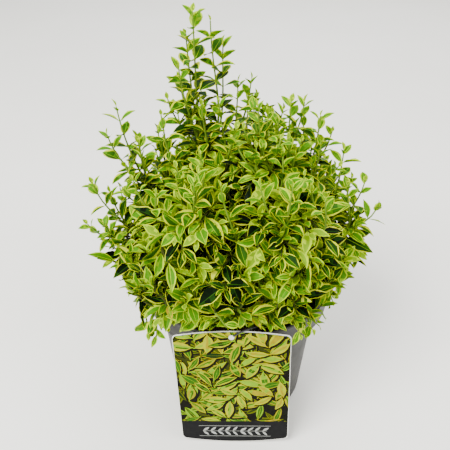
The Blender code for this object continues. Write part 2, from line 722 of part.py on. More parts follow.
def grow_mass(name, plan, limbs, draw):
    """A stem with its twigs, shoots and leaves, fused; also says whether that closed."""
    _, twigs, dense, shoots = MASSES[name]
    space = Space(name, limbs)
    axis = mass_axis(space.centre)
    start = mass_foot(name, plan)
    stem_points = [start, blend(start, space.centre, 0.5), space.centre + axis * MASS_STEM_PAST]
    stem_radii = [MASS_STEM_RADIUS, MASS_STEM_RADIUS, TWIG_RADIUS]
    stem = add_object(name, tube_shape(stem_points, stem_radii, 3), LEAF_COLOUR)

    pieces = []
    if dense:
        grow_core(space, draw, axis, pieces)
    across = axis.orthogonal().normalized()
    fork = blend(start, space.centre, TWIG_FORK)
    least, leans = TWIG_LEANS
    for index in range(twigs):
        lean = math.radians(least + leans * math.sqrt((index + 0.5) / twigs))
        for attempt in range(TWIG_TRIES):
            loose = TWIG_LOOSENESS * (1 + attempt)
            side = Quaternion(axis, index * GOLDEN_ANGLE + draw.uniform(-loose, loose)) @ across
            reach = TWIG_REACH * (1 - TWIG_SHORTER * attempt)
            tip = space.centre + (axis * math.cos(lean) + side * math.sin(lean)) * reach
            if grow_twig(space, draw, fork, tip, TWIG_STEPS, LEAF_SPACING, LEAF_LENGTH, pieces):
                break
    for tip in shoots:
        grow_twig(space, draw, space.centre, Vector(tip), SHOOT_STEPS,
                  SHOOT_SPACING, LEAF_LENGTH * SHOOT_LEAF_SHARE, pieces)
    return stem, fuse(stem, pieces)


def build_plant():
    build_main_stem()
    plan = bough_plan()
    build_boughs(plan)
    limbs = limb_list(plan)
    for name in MASSES:
        build_mass(name, plan, limbs)


clear_scene()
build_pot()
build_soil()
build_label()
build_label_clip()
build_plant()
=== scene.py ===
import math
import random

import bmesh
import bpy
import numpy as np
from mathutils import Euler, Matrix, Quaternion, Vector, noise


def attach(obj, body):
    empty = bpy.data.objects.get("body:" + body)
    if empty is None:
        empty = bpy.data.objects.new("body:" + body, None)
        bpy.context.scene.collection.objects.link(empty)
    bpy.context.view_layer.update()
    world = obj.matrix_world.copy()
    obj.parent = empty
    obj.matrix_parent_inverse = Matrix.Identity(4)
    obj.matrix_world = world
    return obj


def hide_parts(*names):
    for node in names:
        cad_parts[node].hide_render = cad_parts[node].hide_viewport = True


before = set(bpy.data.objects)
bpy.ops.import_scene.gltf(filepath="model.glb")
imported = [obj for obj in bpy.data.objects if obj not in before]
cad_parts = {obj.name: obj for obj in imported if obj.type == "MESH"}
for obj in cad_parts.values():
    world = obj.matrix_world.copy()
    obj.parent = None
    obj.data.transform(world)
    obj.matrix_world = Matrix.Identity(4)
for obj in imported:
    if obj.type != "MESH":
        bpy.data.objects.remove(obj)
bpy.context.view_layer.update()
up = Vector((0, 0, 1))
goldenAngle = math.radians(137.508)


# Helpers for materials

def linear(hexColour):
    values = [int(hexColour[index:index + 2], 16) / 255 for index in (1, 3, 5)]
    return [value / 12.92 if value <= 0.04045 else ((value + 0.055) / 1.055) ** 2.4
            for value in values] + [1]


def addNode(tree, kind, settings=None, inputs=None):
    node = tree.nodes.new(kind)
    for name, value in (settings or {}).items():
        setattr(node, name, value)
    for name, value in (inputs or {}).items():
        if isinstance(value, bpy.types.NodeSocket):
            tree.links.new(value, node.inputs[name])
        else:
            node.inputs[name].default_value = value
    return node


def makeMaterial(name, sockets, colours, perMetre, reach=(0.35, 0.65), bump=None):
    # Two near colours drift into one another; a bump is grains per metre, depth, strength, detail
    material = bpy.data.materials.new(name)
    material.use_nodes = True
    tree = material.node_tree
    shader = tree.nodes["Principled BSDF"]
    for socket, value in sockets.items():
        shader.inputs[socket].default_value = value
    place = addNode(tree, "ShaderNodeTexCoord").outputs["Object"]
    clouds = addNode(tree, "ShaderNodeTexNoise", inputs={"Vector": place, "Scale": perMetre, "Detail": 3})
    spread = addNode(tree, "ShaderNodeMapRange", inputs={
        "Value": clouds.outputs["Fac"], "From Min": reach[0], "From Max": reach[1]})
    mixed = addNode(tree, "ShaderNodeMix", {"data_type": "RGBA"}, {
        "Factor": spread.outputs["Result"], "A": linear(colours[0]), "B": linear(colours[1])})
    tree.links.new(mixed.outputs["Result"], shader.inputs["Base Color"])
    if bump:
        grain = addNode(tree, "ShaderNodeTexNoise", inputs={
            "Vector": place, "Scale": bump[0], "Detail": bump[3]})
        relief = addNode(tree, "ShaderNodeBump", inputs={
            "Height": grain.outputs["Fac"], "Distance": bump[1], "Strength": bump[2]})
        tree.links.new(relief.outputs["Normal"], shader.inputs["Normal"])
    return material


# Helpers for shapes

def blend(first, second, share):
    return first + (second - first) * share


def either(draw, most):
    # A random amount to either side of nothing
    return draw.uniform(-most, most)


def taper(first, last, steps):
    return [first + (last - first) * step / steps for step in range(steps + 1)]


def curvePoints(start, leave, arrive, end, steps):
    points = []
    for step in range(steps + 1):
        share = step / steps
        rest = 1 - share
        points.append(start * rest ** 3 + leave * (3 * rest ** 2 * share)
                      + arrive * (3 * rest * share ** 2) + end * share ** 3)
    return points


class Patches:
    # Gathers patches of points and faces with their material slots, then makes their joined mesh

    def __init__(self):
        self.points = []
        self.faces = []
        self.slots = []
        self.count = 0

    def add(self, points, faces, slots):
        self.points.append(np.asarray(points))
        self.faces.append(np.asarray(faces) + self.count)
        self.slots.append(np.broadcast_to(slots, len(faces)))
        self.count += len(points)

    def makePiece(self, name, materials):
        faces = np.concatenate(self.faces).astype(np.int32)
        mesh = bpy.data.meshes.new(name)
        mesh.vertices.add(self.count)
        mesh.vertices.foreach_set("co", np.concatenate(self.points).astype(np.float32).ravel())
        mesh.loops.add(faces.size)
        mesh.loops.foreach_set("vertex_index", faces.ravel())
        mesh.polygons.add(len(faces))
        mesh.polygons.foreach_set("loop_start", np.arange(0, faces.size, faces.shape[1], dtype=np.int32))
        mesh.polygons.foreach_set("material_index", np.concatenate(self.slots).astype(np.int32))
        mesh.polygons.foreach_set("use_smooth", np.ones(len(faces), dtype=bool))
        mesh.update(calc_edges=True)
        for material in materials:
            mesh.materials.append(material)
        piece = bpy.data.objects.new(name, mesh)
        bpy.context.scene.collection.objects.link(piece)
        return piece


def tubeRings(points, radii, sides, grain=None):
    # Rings of corners round a row of points; grain moves a corner in or out
    across = Vector((1, 0, 0)) if abs((points[1] - points[0]).normalized().z) > 0.9 else up
    rings = []
    for index, point in enumerate(points):
        along = (points[min(index + 1, len(points) - 1)] - points[max(index - 1, 0)]).normalized()
        across = (across - along * across.dot(along)).normalized()
        other = along.cross(across)
        for corner in range(sides):
            turn = math.tau * corner / sides
            offset = across * math.cos(turn) + other * math.sin(turn)
            radius = radii[index]
            if grain:
                radius *= grain(point + offset * radius, turn)
            rings.append(point + offset * radius)
    return rings


def tubeQuads(rings, sides):
    quads = []
    for low in range(0, (rings - 1) * sides, sides):
        for corner in range(sides):
            following = (corner + 1) % sides
            quads.append((low + corner, low + following, low + sides + following, low + sides + corner))
    return quads


def skinTubes(name, tubes, materials):
    # tubes: rows of (points, radii, sides, material slot, grain); each gets a closed, pointed end
    patches = Patches()
    for path, radii, sides, slot, grain in tubes:
        tip = path[-1] + (path[-1] - path[-2]).normalized() * radii[-1] * 0.6
        foot = path[0] - (path[1] - path[0]).normalized() * radii[0] * 0.2
        row = [foot] + list(path) + [tip]
        widths = [radii[0] * 0.05] + list(radii) + [radii[-1] * 0.05]
        patches.add(tubeRings(row, widths, sides, grain), tubeQuads(len(row), sides), slot)
    return patches.makePiece(name, materials)


def selectOnly(*pieces):
    bpy.ops.object.select_all(action="DESELECT")
    for piece in pieces:
        piece.select_set(True)
    if pieces:
        bpy.context.view_layer.objects.active = pieces[0]


def joinPieces(name, pieces):
    selectOnly(*pieces)
    bpy.ops.object.join()
    bpy.context.object.name = name
    return bpy.context.object


def bevelEdges(piece, width):
    bevel = piece.modifiers.new("edge", "BEVEL")
    bevel.width = width
    bevel.segments = 2
    bevel.limit_method = "ANGLE"
    bpy.ops.object.modifier_apply(modifier=bevel.name)


def shadeSmooth(piece, degrees):
    selectOnly(piece)
    bpy.ops.object.shade_smooth_by_angle(angle=math.radians(degrees))


# Plant: the same frame of limbs as the solids, from the same sizes

plant = {
    "soilLevel": 0.1330,
    "gap": 0.0003,
    "stemHeight": 0.050,
    "stemFootRadius": 0.0115,
    "stemRadius": 0.0075,
    "stemTopRadius": 0.0060,
    "stemFlare": 0.004,
    "stemLean": Vector((-0.0030, 0.0015, 0)),
    "boughRadius": 0.0023,
    "boughTipRadius": 0.0016,
    "boughSteps": 14,
    "boughSides": 12,
    "stemSteps": 30,
    "stemSides": 28,
    "boughEase": 0.35,
    "massRise": 0.5,
    "massStemReach": 0.024,
    "tiers": (("foliage_skirt", (0.013, 0.019), 0.35), ("foliage_inner", (0.028, 0.028), 0.60),
              ("foliage_top", (0.037, 0.045), 0.90)),
}

# Each mass: its middle, how full it is, how many short upright shoots rise out of it, and
# the tips of its tall ones, all places in millimetres
masses = {
    "foliage_heart": ((-2, 2, 236), 1.0, 0, ()),
    "foliage_top_crest": ((-34, 10, 285), 0.85, 6, (
        (-37, 4, 416), (-23, 10, 407), (-44, 12, 396), (-13, 20, 386), (-50, -6, 374), (-52, 14, 356),
        (0, 14, 352), (12, 22, 352), (-63, 12, 338), (-67, -10, 332))),
    "foliage_top_centre": ((18, -16, 276), 0.9, 14, (
        (17, -18, 343), (26, -10, 332), (36, 0, 322), (-2, -26, 326))),
    "foliage_top_left": ((-83, -8, 254), 0.62, 5, (
        (-106, -6, 338), (-116, -12, 315), (-88, -12, 306), (-101, -20, 286), (-73, 4, 312),
        (-94, 14, 300))),
    "foliage_top_right": ((67, 10, 260), 0.85, 13, (
        (47, 4, 338), (60, 14, 334), (74, 4, 325), (87, 12, 306), (98, 2, 292), (56, -12, 308))),
    "foliage_top_back_left": ((-48, 62, 252), 0.9, 9, ((-36, 70, 318), (-62, 76, 300), (-46, 50, 312))),
    "foliage_top_back_right": ((30, 64, 256), 0.9, 10, ((18, 64, 322), (46, 78, 300), (34, 48, 308))),
    "foliage_top_front_left": ((-36, -60, 244), 0.95, 6, ((-52, -58, 298), (-30, -52, 304))),
    "foliage_top_front_right": ((38, -62, 240), 0.95, 6, ((44, -64, 290), (60, -50, 286))),
    "foliage_inner_front_left": ((-40, -40, 192), 1.0, 0, ()),
    "foliage_inner_front_right": ((36, -42, 192), 1.0, 0, ()),
    "foliage_inner_back_right": ((40, 36, 196), 1.0, 0, ()),
    "foliage_inner_back_left": ((-40, 38, 196), 1.0, 0, ()),
    "foliage_skirt_right": ((86, -2, 198), 0.85, 3, (
        (121, 0, 261), (102, -14, 264), (133, -12, 238), (114, -22, 230), (112, 22, 250), (96, -34, 140),
        (103, -16, 144))),
    "foliage_skirt_back_right": ((68, 64, 190), 0.95, 4, ((92, 72, 246),)),
    "foliage_skirt_back": ((-4, 92, 190), 0.95, 4, ((2, 134, 214), (4, 112, 246))),
    "foliage_skirt_back_left": ((-74, 60, 190), 0.95, 4, ((-98, 70, 244),)),
    "foliage_skirt_left": ((-98, -10, 194), 0.78, 2, (
        (-136, -8, 262), (-145, -16, 222), (-124, 4, 246), (-128, -22, 226), (-118, 22, 240))),
    "foliage_skirt_front_left": ((-68, -72, 182), 1.15, 4, (
        (-88, -70, 220), (-80, -70, 124), (-89, -58, 116), (-97, -44, 122), (-66, -82, 150),
        (-60, -80, 160))),
    "foliage_skirt_front": ((-2, -94, 184), 1.2, 4, (
        (-40, -90, 165), (-22, -94, 165), (-4, -96, 166), (14, -94, 165), (32, -92, 165), (-44, -78, 158),
        (-28, -83, 158), (-10, -84, 158), (8, -84, 158), (26, -83, 158), (42, -78, 158), (-46, -100, 171),
        (-28, -106, 173), (-10, -108, 174), (8, -107, 174), (26, -104, 173), (44, -98, 171))),
    "foliage_skirt_front_right": ((62, -70, 182), 1.15, 4, (
        (80, -70, 222), (52, -92, 166), (64, -80, 154), (78, -72, 142), (86, -58, 138), (90, -48, 150),
        (58, -90, 148), (70, -80, 145), (60, -86, 158))),
}


def metres(place):
    return Vector([value / 1000 for value in place])


masses = {name: (metres(centre), fullness, shortShoots, [metres(tip) for tip in tips])
          for name, (centre, fullness, shortShoots, tips) in masses.items()}


def stemCentre(height):
    level = plant["soilLevel"] + plant["gap"] + height
    return plant["stemLean"] * (height / plant["stemHeight"]) + up * level


def stemRadius(height):
    flare = (plant["stemFootRadius"] - plant["stemRadius"]) * math.exp(-height / plant["stemFlare"])
    share = height / plant["stemHeight"]
    return plant["stemRadius"] + (plant["stemTopRadius"] - plant["stemRadius"]) * share + flare


def bearing(point):
    return math.atan2(point.y, point.x)


def massAxis(centre):
    outward = (centre - stemCentre(plant["stemHeight"])).normalized()
    return (outward + up * plant["massRise"]).normalized()


def boughPlan():
    # A bough to each mass but the heart, set round the stem tier by tier
    plan = {}
    steps = plant["boughSteps"]
    for tier, heights, rise in plant["tiers"]:
        names = [name for name in masses if name.startswith(tier)]
        names.sort(key=lambda name: bearing(masses[name][0]))
        first = bearing(masses[names[0]][0])
        for index, name in enumerate(names):
            centre = masses[name][0]
            height = heights[index % 2]
            turn = first + math.tau * index / len(names)
            outward = Vector((math.cos(turn), math.sin(turn), 0))
            leaveWay = (outward + up * rise).normalized()
            leanIn = plant["boughRadius"] * leaveWay.z
            start = stemCentre(height) + outward * (stemRadius(height) + plant["gap"] + leanIn)
            end = centre - massAxis(centre) * plant["massStemReach"]
            ease = (end - start).length * plant["boughEase"]
            points = curvePoints(start, start + leaveWay * ease, end - massAxis(centre) * ease, end, steps)
            plan[name] = (points, taper(plant["boughRadius"], plant["boughTipRadius"], steps))
    return plan


# Crown: where twigs and leaves may go, as in the solids

crown = {
    "footHeight": 0.126,
    "footLeft": 0.106,            # the crown hangs lower on the left
    "leftFrom": -0.055,
    "footRadius": 0.113,
    "spread": 0.78,
    "lean": 0.6,
    "centreX": -0.005,
    "domeHeight": 0.301,          # only shoots rise above this dome
    "domeFall": 7.2,
    "domeSlope": 0.42,
    "domeSpare": 0.006,           # how far a leaf may stand above it
    "ragged": (0.006, 0.046),     # and how far above it the short shoots end
    "rimHeight": 0.150,
    "rimRadius": 0.095,
    "neckRadius": 0.0830,
    "rimMargin": 0.0030,
    "limbMargin": 0.0006,
    "limbsWithin": 0.09,          # limbs further than this from a mass can't meet its leaves
    "labelView": 0.90,            # leaves in front of the label rise this steeply and leave it in view
    "lowBelow": 0.252,            # sprays below this are of the low kinds
    "paintedShadeBelow": 0.262,         # and below this, as near the middle as this, of the inside kind, darkened as painted shade
    "paintedShadeWithin": 0.068,
}


def domeAbove(point):
    return crown["domeHeight"] - crown["domeFall"] * point.x ** 2 - crown["domeSlope"] * max(point.y, 0)


class MassSpace:

    def __init__(self, name, limbs):
        self.centre = masses[name][0]
        self.others = [row[0] for other, row in masses.items() if other != name]
        self.limbs = [limb for limb in limbs if (limb[0] - self.centre).length < crown["limbsWithin"]]

    def isOwn(self, point, overlap=0.0):
        own = (point - self.centre).length_squared
        return all((point - other).length_squared - own >= -2 * (other - self.centre).length * overlap
                   for other in self.others)

    def isClear(self, point, thickness, inset=0.0):
        around = math.hypot(point.x, point.y)
        above = point.z - crown["rimHeight"]
        outside = around > crown["rimRadius"] + crown["rimMargin"]
        inside = around < crown["neckRadius"] and point.z > plant["soilLevel"] + crown["rimMargin"]
        if above < crown["rimMargin"] and not outside and not inside:
            return False
        higher = max(above, 0)
        out = math.hypot(point.x - crown["centreX"], point.y - crown["lean"] * higher)
        foot = crown["footLeft" if point.x < crown["leftFrom"] else "footHeight"]
        if point.z < foot or out > crown["footRadius"] + crown["spread"] * higher - inset:
            return False
        across = point.x - label["centreX"]
        if point.y < -crown["neckRadius"] and abs(across) < label["width"] / 2 + label["clear"]:
            top = labelEdges(across)[1] + label["clear"]
            if point.z < top + crown["labelView"] * max(label["back"] - point.y, 0):
                return False
        for start, end, radius in self.limbs:
            along = end - start
            share = min(max((point - start).dot(along) / along.length_squared, 0), 1)
            if (point - (start + along * share)).length < radius + thickness + crown["limbMargin"]:
                return False
        return True


# Leaves: an elliptic, pointed blade on a short stalk, with margin, middle and midrib as faces

leaf = {
    "rows": (0.0, 0.09, 0.24, 0.42, 0.59, 0.76, 0.89, 1.0),
    "halfWidths": (0.016, 0.034, 0.142, 0.198, 0.202, 0.150, 0.076, 0.003),
    "ribHalfWidth": 0.013,
    "tipMargin": (0.6, 0.22),     # from this far along, the margin broadens by this share
    "droopFrom": 0.2,
    "waveStep": 2.4,              # from one row of the wavy edge to the next
    # From and to: how broad the blade is, how it folds, droops, waves at its edge and twists
    "forms": ((0.80, 1.04), (0.25, 0.80), (0.04, 0.30), (0.0, 0.022), (-0.25, 0.25)),
    "variants": 14,               # the first half of them has narrow margins, for older leaves
    "margins": (0.09, 0.33),      # from the narrowest to the broadest, of the half width
    "marginVaries": (0.05, 0.07, 0.13),   # by the leaf, by its sides and along them
    "blotches": (0.16, 0.45),     # their share in the body of the blade and near its ends
    "lengthVaries": 0.22,
    "breadthVaries": (0.9, 1.15),
    "spaceVaries": (0.85, 1.15),
    "turnVaries": 0.15,           # of a pair, from square to the pair above
    "loose": 0.16,                # of a leaf's turn and lean, more with each try
    "stray": 0.6,                 # of the way it faces
    "ageSizes": (0.40, 0.66, 0.88, 1.0),
    "ageLeans": (16, 38, 55, 64, 70, 74),
    "ageSpaces": (0.35, 0.75, 1),
    "broadTints": ("bud", "lime", "young", "fresh", "gold"),
    "facing": (0.9, 1.3, 1.2),    # how far a blade faces up its twig, to the sky and outwards
    "tries": 4,
    "apart": 0.0055,              # no two leaves have their middles nearer than this
}
zoneMargin, zoneMiddle, zoneBlotch, zoneRib = range(4)


def leafVariant(draw, marginShare):
    rows = leaf["rows"]
    narrow, fold, droop, wave, twist = [draw.uniform(*reach) for reach in leaf["forms"]]
    byLeaf, bySide, alongIt = leaf["marginVaries"]
    tipFrom, tipShare = leaf["tipMargin"]
    marginShare += either(draw, byLeaf)
    sidesLean = [either(draw, bySide) for _ in range(2)]
    points = []
    for row, (along, half) in enumerate(zip(rows, leaf["halfWidths"])):
        half *= narrow if row else 1
        rib = min(leaf["ribHalfWidth"] * (1.15 - along), half * 0.4)
        inner = []
        for side in range(2):
            share = 1 - marginShare - sidesLean[side] + either(draw, alongIt)
            share -= tipShare * max(along - tipFrom, 0) / (1 - tipFrom)
            inner.append(max(half * share, rib * 1.3))
        for column, reach in enumerate((-half, -inner[0], -rib, rib, inner[1], half)):
            lift = abs(reach) * fold
            if column in (0, 5):
                lift += wave * math.sin(row * leaf["waveStep"] + column)
            lift -= droop * max(along - leaf["droopFrom"], 0) ** 2
            lift += reach * twist * along
            points.append((along, reach, lift))
    quads = []
    zones = []
    for row in range(len(rows) - 1):
        for column in range(5):
            low = row * 6 + column
            quads.append((low, low + 6, low + 7, low + 1))
            if row == 0 or column == 2:
                zone = zoneRib
            elif column in (0, 4):
                zone = zoneMargin
            else:
                zone = zoneBlotch if draw.random() < leaf["blotches"][row in (1, 5, 6)] else zoneMiddle
            zones.append(zone)
    return np.array(points), np.array(quads), np.array(zones)


# Each tint: the colours of margin, middle, blotch and midrib
leafColours = {
    "limeEdge": ("#AAC400", "#9EB800"),
    "yellowEdge": ("#BAC200", "#ACB400"),
    "creamEdge": ("#BEC624", "#B0B81C"),
    # A dull margin, used only by the shade tint: painted shade
    "shadeEdge": ("#98A01E", "#868E18"),
    "goldEdge": ("#B09A16", "#A28C10"),
    "limeGreen": ("#749600", "#688800"),
    "brightGreen": ("#487C06", "#3E7004"),
    "midGreen": ("#2A5408", "#224A06"),
    "deepGreen": ("#18360C", "#142E0A"),
    # Near-black green: the middle of old leaves, and of shade leaves, where it is painted shade
    "shadeGreen": ("#0B1808", "#081206"),
    "ribGreen": ("#7C9E04", "#6E9002"),
}
leafTints = {
    "bud": ("limeEdge", "limeGreen", "limeEdge", "limeGreen"),
    "lime": ("limeEdge", "brightGreen", "limeGreen", "limeEdge"),
    "young": ("limeEdge", "brightGreen", "limeGreen", "limeGreen"),
    "fresh": ("yellowEdge", "midGreen", "brightGreen", "ribGreen"),
    "grown": ("yellowEdge", "deepGreen", "midGreen", "ribGreen"),
    "old": ("creamEdge", "shadeGreen", "deepGreen", "midGreen"),
    # The shade tint: dull margin and near-black middle, painted shade for leaves deep in the crown
    "shade": ("shadeEdge", "shadeGreen", "deepGreen", "midGreen"),
    "cream": ("creamEdge", "midGreen", "creamEdge", "ribGreen"),
    "gold": ("goldEdge", "limeGreen", "goldEdge", "limeEdge"),
}
# The tints of a spray's pairs, from its tip down
sprayKinds = {
    "bright": ("bud", "lime", "young", "fresh", "fresh", "grown"),
    "lemon": ("bud", "bud", "lime", "young", "fresh", "grown"),
    "common": ("bud", "young", "fresh", "grown", "grown", "old"),
    "dark": ("fresh", "grown", "old", "old", "shade", "shade"),
    "creamy": ("young", "cream", "old", "old", "old", "shade"),
    "golden": ("bud", "gold", "gold", "fresh", "grown", "old"),
    # Sprays deep inside the crown: the darkest tints, painted shade
    "inside": ("fresh", "old", "shade", "shade", "shade", "shade"),
}


def leafMaterials():
    # Living leaf: a leathery blade with a waxy skin, so a soft broad gloss over the colour, and a
    # faint net of veins about 1 mm wide
    waxy = {"Roughness": 0.40, "IOR": 1.45, "Specular IOR Level": 0.03}
    return [makeMaterial("livingLeaf" + name[0].upper() + name[1:], waxy, colours, 260,
                         bump=(900, 0.00012, 0.35, 2)) for name, colours in leafColours.items()]


class LeafHeap:
    # Collects the leaves of one piece, then makes their joined mesh

    def __init__(self):
        self.rows = []

    def makePiece(self, name, variants, materials):
        colourNames = list(leafColours)
        tintNames = list(leafTints)
        slotTable = np.array([[colourNames.index(colour) for colour in leafTints[tint]]
                              for tint in tintNames])
        patches = Patches()
        for index, (shape, faces, zones) in enumerate(variants):
            rows = [row for row in self.rows if row[3] == index]
            if not rows:
                continue
            roots, axes, lengths = [np.array([row[part] for row in rows]) for part in range(3)]
            placed = roots[:, None, :] + np.einsum("vk,nkc->nvc", shape, axes) * lengths[:, None, None]
            starts = np.arange(len(rows)) * len(shape)
            quads = (faces[None] + starts[:, None, None]).reshape(-1, 4)
            tints = np.array([tintNames.index(row[4]) for row in rows])
            patches.add(placed.reshape(-1, 3), quads, slotTable[tints][:, zones].ravel())
        return patches.makePiece(name, materials)


# Twigs

twig = {
    "tipRadius": 0.00060,
    "sides": 5,
    "stepLength": 0.009,
    "eases": (0.42, 0.25, 0.1),   # the straighter, the less it strays out of the crown
    "endsUp": (0.1, 1.5),         # how steeply it ends, for a tip below its start and above
    "leastReach": 0.016,
    "bend": (0.8, 1.4),           # what a bend costs where a twig starts, and the most that counts
    "bodyTips": 62,               # directions tried for the tips round the middle of a mass
    "innerTips": 40,
    "bodyReach": (0.036, 0.047),
    "bodyShares": (1, 0.85, 0.7, 0.55),
    "topShorter": 0.24,           # a top mass is flatter above by this share
    "tipsApart": 0.0125,
    "shortShoot": (0.054, 0.100), # reach of the short upright shoots above the middle
    "shortSpread": 0.030,
    "shortLean": 0.16,
    "shortOverlap": 0.006,
    "shootsFrom": 0.014,          # shoots spring from twigs no higher than this above the middle
}
# What a twig in the body of the crown and a shoot have of their own
bodyTwig = {
    "radius": 0.00115,
    "bark": 1,
    "pull": 1.2,                  # how straight it makes for its tip
    "upright": 0,                 # how much it minds springing from beside its tip
    "inset": 0.011,               # it keeps this far inside the reach of the leaves
    "bareShare": 0.22,
    "spacing": 0.0094,            # between its pairs of leaves
    "leafLength": 0.0285,
    "leafBreadth": 1.0,
    "overlap": 0.012,             # a leaf may reach this far into the next mass's space
}
shootTwig = {
    "radius": 0.00125,
    "bark": 0,
    "pull": 2.2,
    "upright": 1.6,
    "inset": 0,
    "bareShare": 0.06,
    "spacing": 0.0128,
    "leafLength": 0.0188,
    "leafBreadth": 1.3,
    "overlap": 0.040,
}
# The kinds of spray with their shares, added up, low on the crown and high
sprayShares = {
    "low": {"dark": 0.28, "creamy": 0.40, "common": 0.58, "bright": 0.76, "lemon": 0.96, "golden": 1},
    "high": {"dark": 0.11, "creamy": 0.15, "common": 0.36, "bright": 0.66, "lemon": 0.98, "golden": 1},
}


def sprayKind(tip, chance):
    # Low sprays near the middle take the inside kind, whose darkest tints are painted shade
    if math.hypot(tip.x, tip.y) < crown["paintedShadeWithin"] and tip.z < crown["paintedShadeBelow"]:
        return "inside"
    shares = sprayShares["low" if tip.z < crown["lowBelow"] else "high"]
    return next(kind for kind, share in shares.items() if chance < share)


def atAge(values, pair):
    return values[min(pair, len(values) - 1)]


def spotFor(form, nodes, tip):
    # The nearest place on the limbs grown so far that leaves room for a twig, for a shoot one
    # that lies below its tip
    weight, most = twig["bend"]
    best = None
    for point, way in nodes:
        reach = tip - point
        if reach.length < twig["leastReach"]:
            continue
        bend = min(1 - reach.normalized().dot(way), most)
        cost = reach.length * (1 + weight * bend) + math.hypot(reach.x, reach.y) * form["upright"]
        if best is None or cost < best[0]:
            best = (cost, point, way)
    return best[1:]


class Grower:

    def __init__(self, plan, limbs):
        self.plan = plan
        self.limbs = limbs
        self.cells = {}

    def isCrowded(self, point):
        size = leaf["apart"]
        cell = tuple(int(math.floor(value / size)) for value in point)
        for x in (-1, 0, 1):
            for y in (-1, 0, 1):
                for z in (-1, 0, 1):
                    for other in self.cells.get((cell[0] + x, cell[1] + y, cell[2] + z), ()):
                        if (other - point).length_squared < size * size:
                            return True
        self.cells.setdefault(cell, []).append(point)
        return False

    def growLeaf(self, form, node, way, turn, lean, length, breadth, tint):
        draw, space = self.draw, self.space
        across = way.orthogonal().normalized()
        ceiling = domeAbove(node) + crown["domeSpare"]
        upTwig, toSky, outwards = leaf["facing"]
        for attempt in range(leaf["tries"]):
            loose = leaf["loose"] * (1 + attempt)
            side = Quaternion(way, turn + either(draw, loose)) @ across
            tilt = lean + either(draw, loose)
            along = (way * math.cos(tilt) + side * math.sin(tilt)).normalized()
            tip = node + along * length
            middle = node + along * length * 0.55
            if not space.isOwn(tip, form["overlap"]) or not space.isClear(middle, 0.001):
                continue
            if form is bodyTwig and tip.z > ceiling:
                continue
            if not space.isClear(tip, 0.0005) or self.isCrowded(middle):
                continue
            stray = Vector([either(draw, leaf["stray"]) for _ in range(3)])
            facing = way * upTwig + up * toSky + Vector((node.x, node.y, 0)) * outwards + stray
            normal = (facing - along * facing.dot(along)).normalized()
            half = leaf["variants"] // 2
            variant = draw.randrange(half) + (half if tint in leaf["broadTints"] else 0)
            axes = (along, normal.cross(along) * breadth, normal)
            self.heap.rows.append((node, axes, length, variant, tint))
            return

    def leafUp(self, form, points, kind):
        # Pairs set crosswise in turn, from the bud at the tip down
        draw = self.draw
        lengths = [(high - low).length for low, high in zip(points, points[1:])]
        end = sum(lengths) * (1 - form["bareShare"])
        reach = 0.0005
        pair = 0
        turn = draw.uniform(0, math.pi)
        while reach < end:
            left = reach
            step = len(lengths) - 1
            while left > lengths[step] and step > 0:
                left -= lengths[step]
                step -= 1
            way = (points[step + 1] - points[step]).normalized()
            node = points[step + 1] - way * left
            length = form["leafLength"] * atAge(leaf["ageSizes"], pair)
            lean = math.radians(atAge(leaf["ageLeans"], pair))
            for half in range(2):
                grown = length * (1 + either(draw, leaf["lengthVaries"]))
                breadth = form["leafBreadth"] * draw.uniform(*leaf["breadthVaries"])
                self.growLeaf(form, node, way, turn + math.pi * half, lean, grown, breadth,
                              atAge(sprayKinds[kind], pair))
            turn += math.pi / 2 + either(draw, leaf["turnVaries"])
            reach += form["spacing"] * atAge(leaf["ageSpaces"], pair) * draw.uniform(*leaf["spaceVaries"])
            pair += 1

    def growTwig(self, form, nodes, tip):
        start, way = spotFor(form, nodes, tip)
        reach = tip - start
        ahead = reach.normalized()
        steps = max(int(reach.length / twig["stepLength"]), 3)
        rise = twig["endsUp"][tip.z > start.z]
        for ease in twig["eases"]:
            leave = (way + ahead * form["pull"]).normalized() * reach.length * ease
            arrive = (ahead + up * rise).normalized() * reach.length * ease
            points = curvePoints(start, start + leave, tip - arrive, tip, steps)
            strays = any(not self.space.isClear(point, 0.001, form["inset"]) for point in points[2:-1])
            if not strays:
                break
        if strays and form is bodyTwig:
            return None
        radii = taper(form["radius"], twig["tipRadius"], steps)
        self.tubes.append((points, radii, twig["sides"], form["bark"], None))
        for low, high in zip(points[1:-1], points[2:]):
            nodes.append((low, (high - low).normalized()))
        return points

    def bodyTips(self, name, axis, fullness):
        # All round the middle of a mass, each tip as far out as its space allows
        centre = self.space.centre
        inner = name.startswith("foliage_inner") or name == "foliage_heart"
        count = int((twig["innerTips"] if inner else twig["bodyTips"]) * fullness)
        across = axis.orthogonal().normalized()
        tips = []
        for index in range(count):
            height = 1 - 2 * (index + 0.5) / count
            side = Quaternion(axis, index * goldenAngle) @ across
            outward = axis * height + side * math.sqrt(1 - height ** 2)
            reach = self.draw.uniform(*twig["bodyReach"]) * (0.55 + 0.45 * fullness)
            if name.startswith("foliage_top"):
                reach *= 1 - twig["topShorter"] * max(outward.z, 0)
            for share in twig["bodyShares"]:
                tip = centre + outward * reach * share
                apart = all((tip - other).length > twig["tipsApart"] for other in tips)
                clear = self.space.isClear(tip, 0.002, bodyTwig["inset"]) and tip.z < domeAbove(tip)
                if self.space.isOwn(tip) and clear and apart:
                    tips.append(tip)
                    break
        return sorted(tips, key=lambda tip: (tip - centre).length)

    def shortTips(self, count):
        # Upright shoots spread over the top of a mass
        centre = self.space.centre
        tips = []
        for index in range(count):
            turn = index * goldenAngle + either(self.draw, 0.3)
            off = twig["shortSpread"] * math.sqrt((index + 0.6) / count)
            rise = self.draw.uniform(*twig["shortShoot"])
            lean = Vector((centre.x, centre.y, 0)) * twig["shortLean"]
            tip = centre + Vector((math.cos(turn) * off, math.sin(turn) * off, rise)) + lean
            tip.z = min(tip.z, domeAbove(tip) + self.draw.uniform(*crown["ragged"]))
            if self.space.isOwn(tip, twig["shortOverlap"]) and self.space.isClear(tip, 0.002):
                tips.append(tip)
        return tips

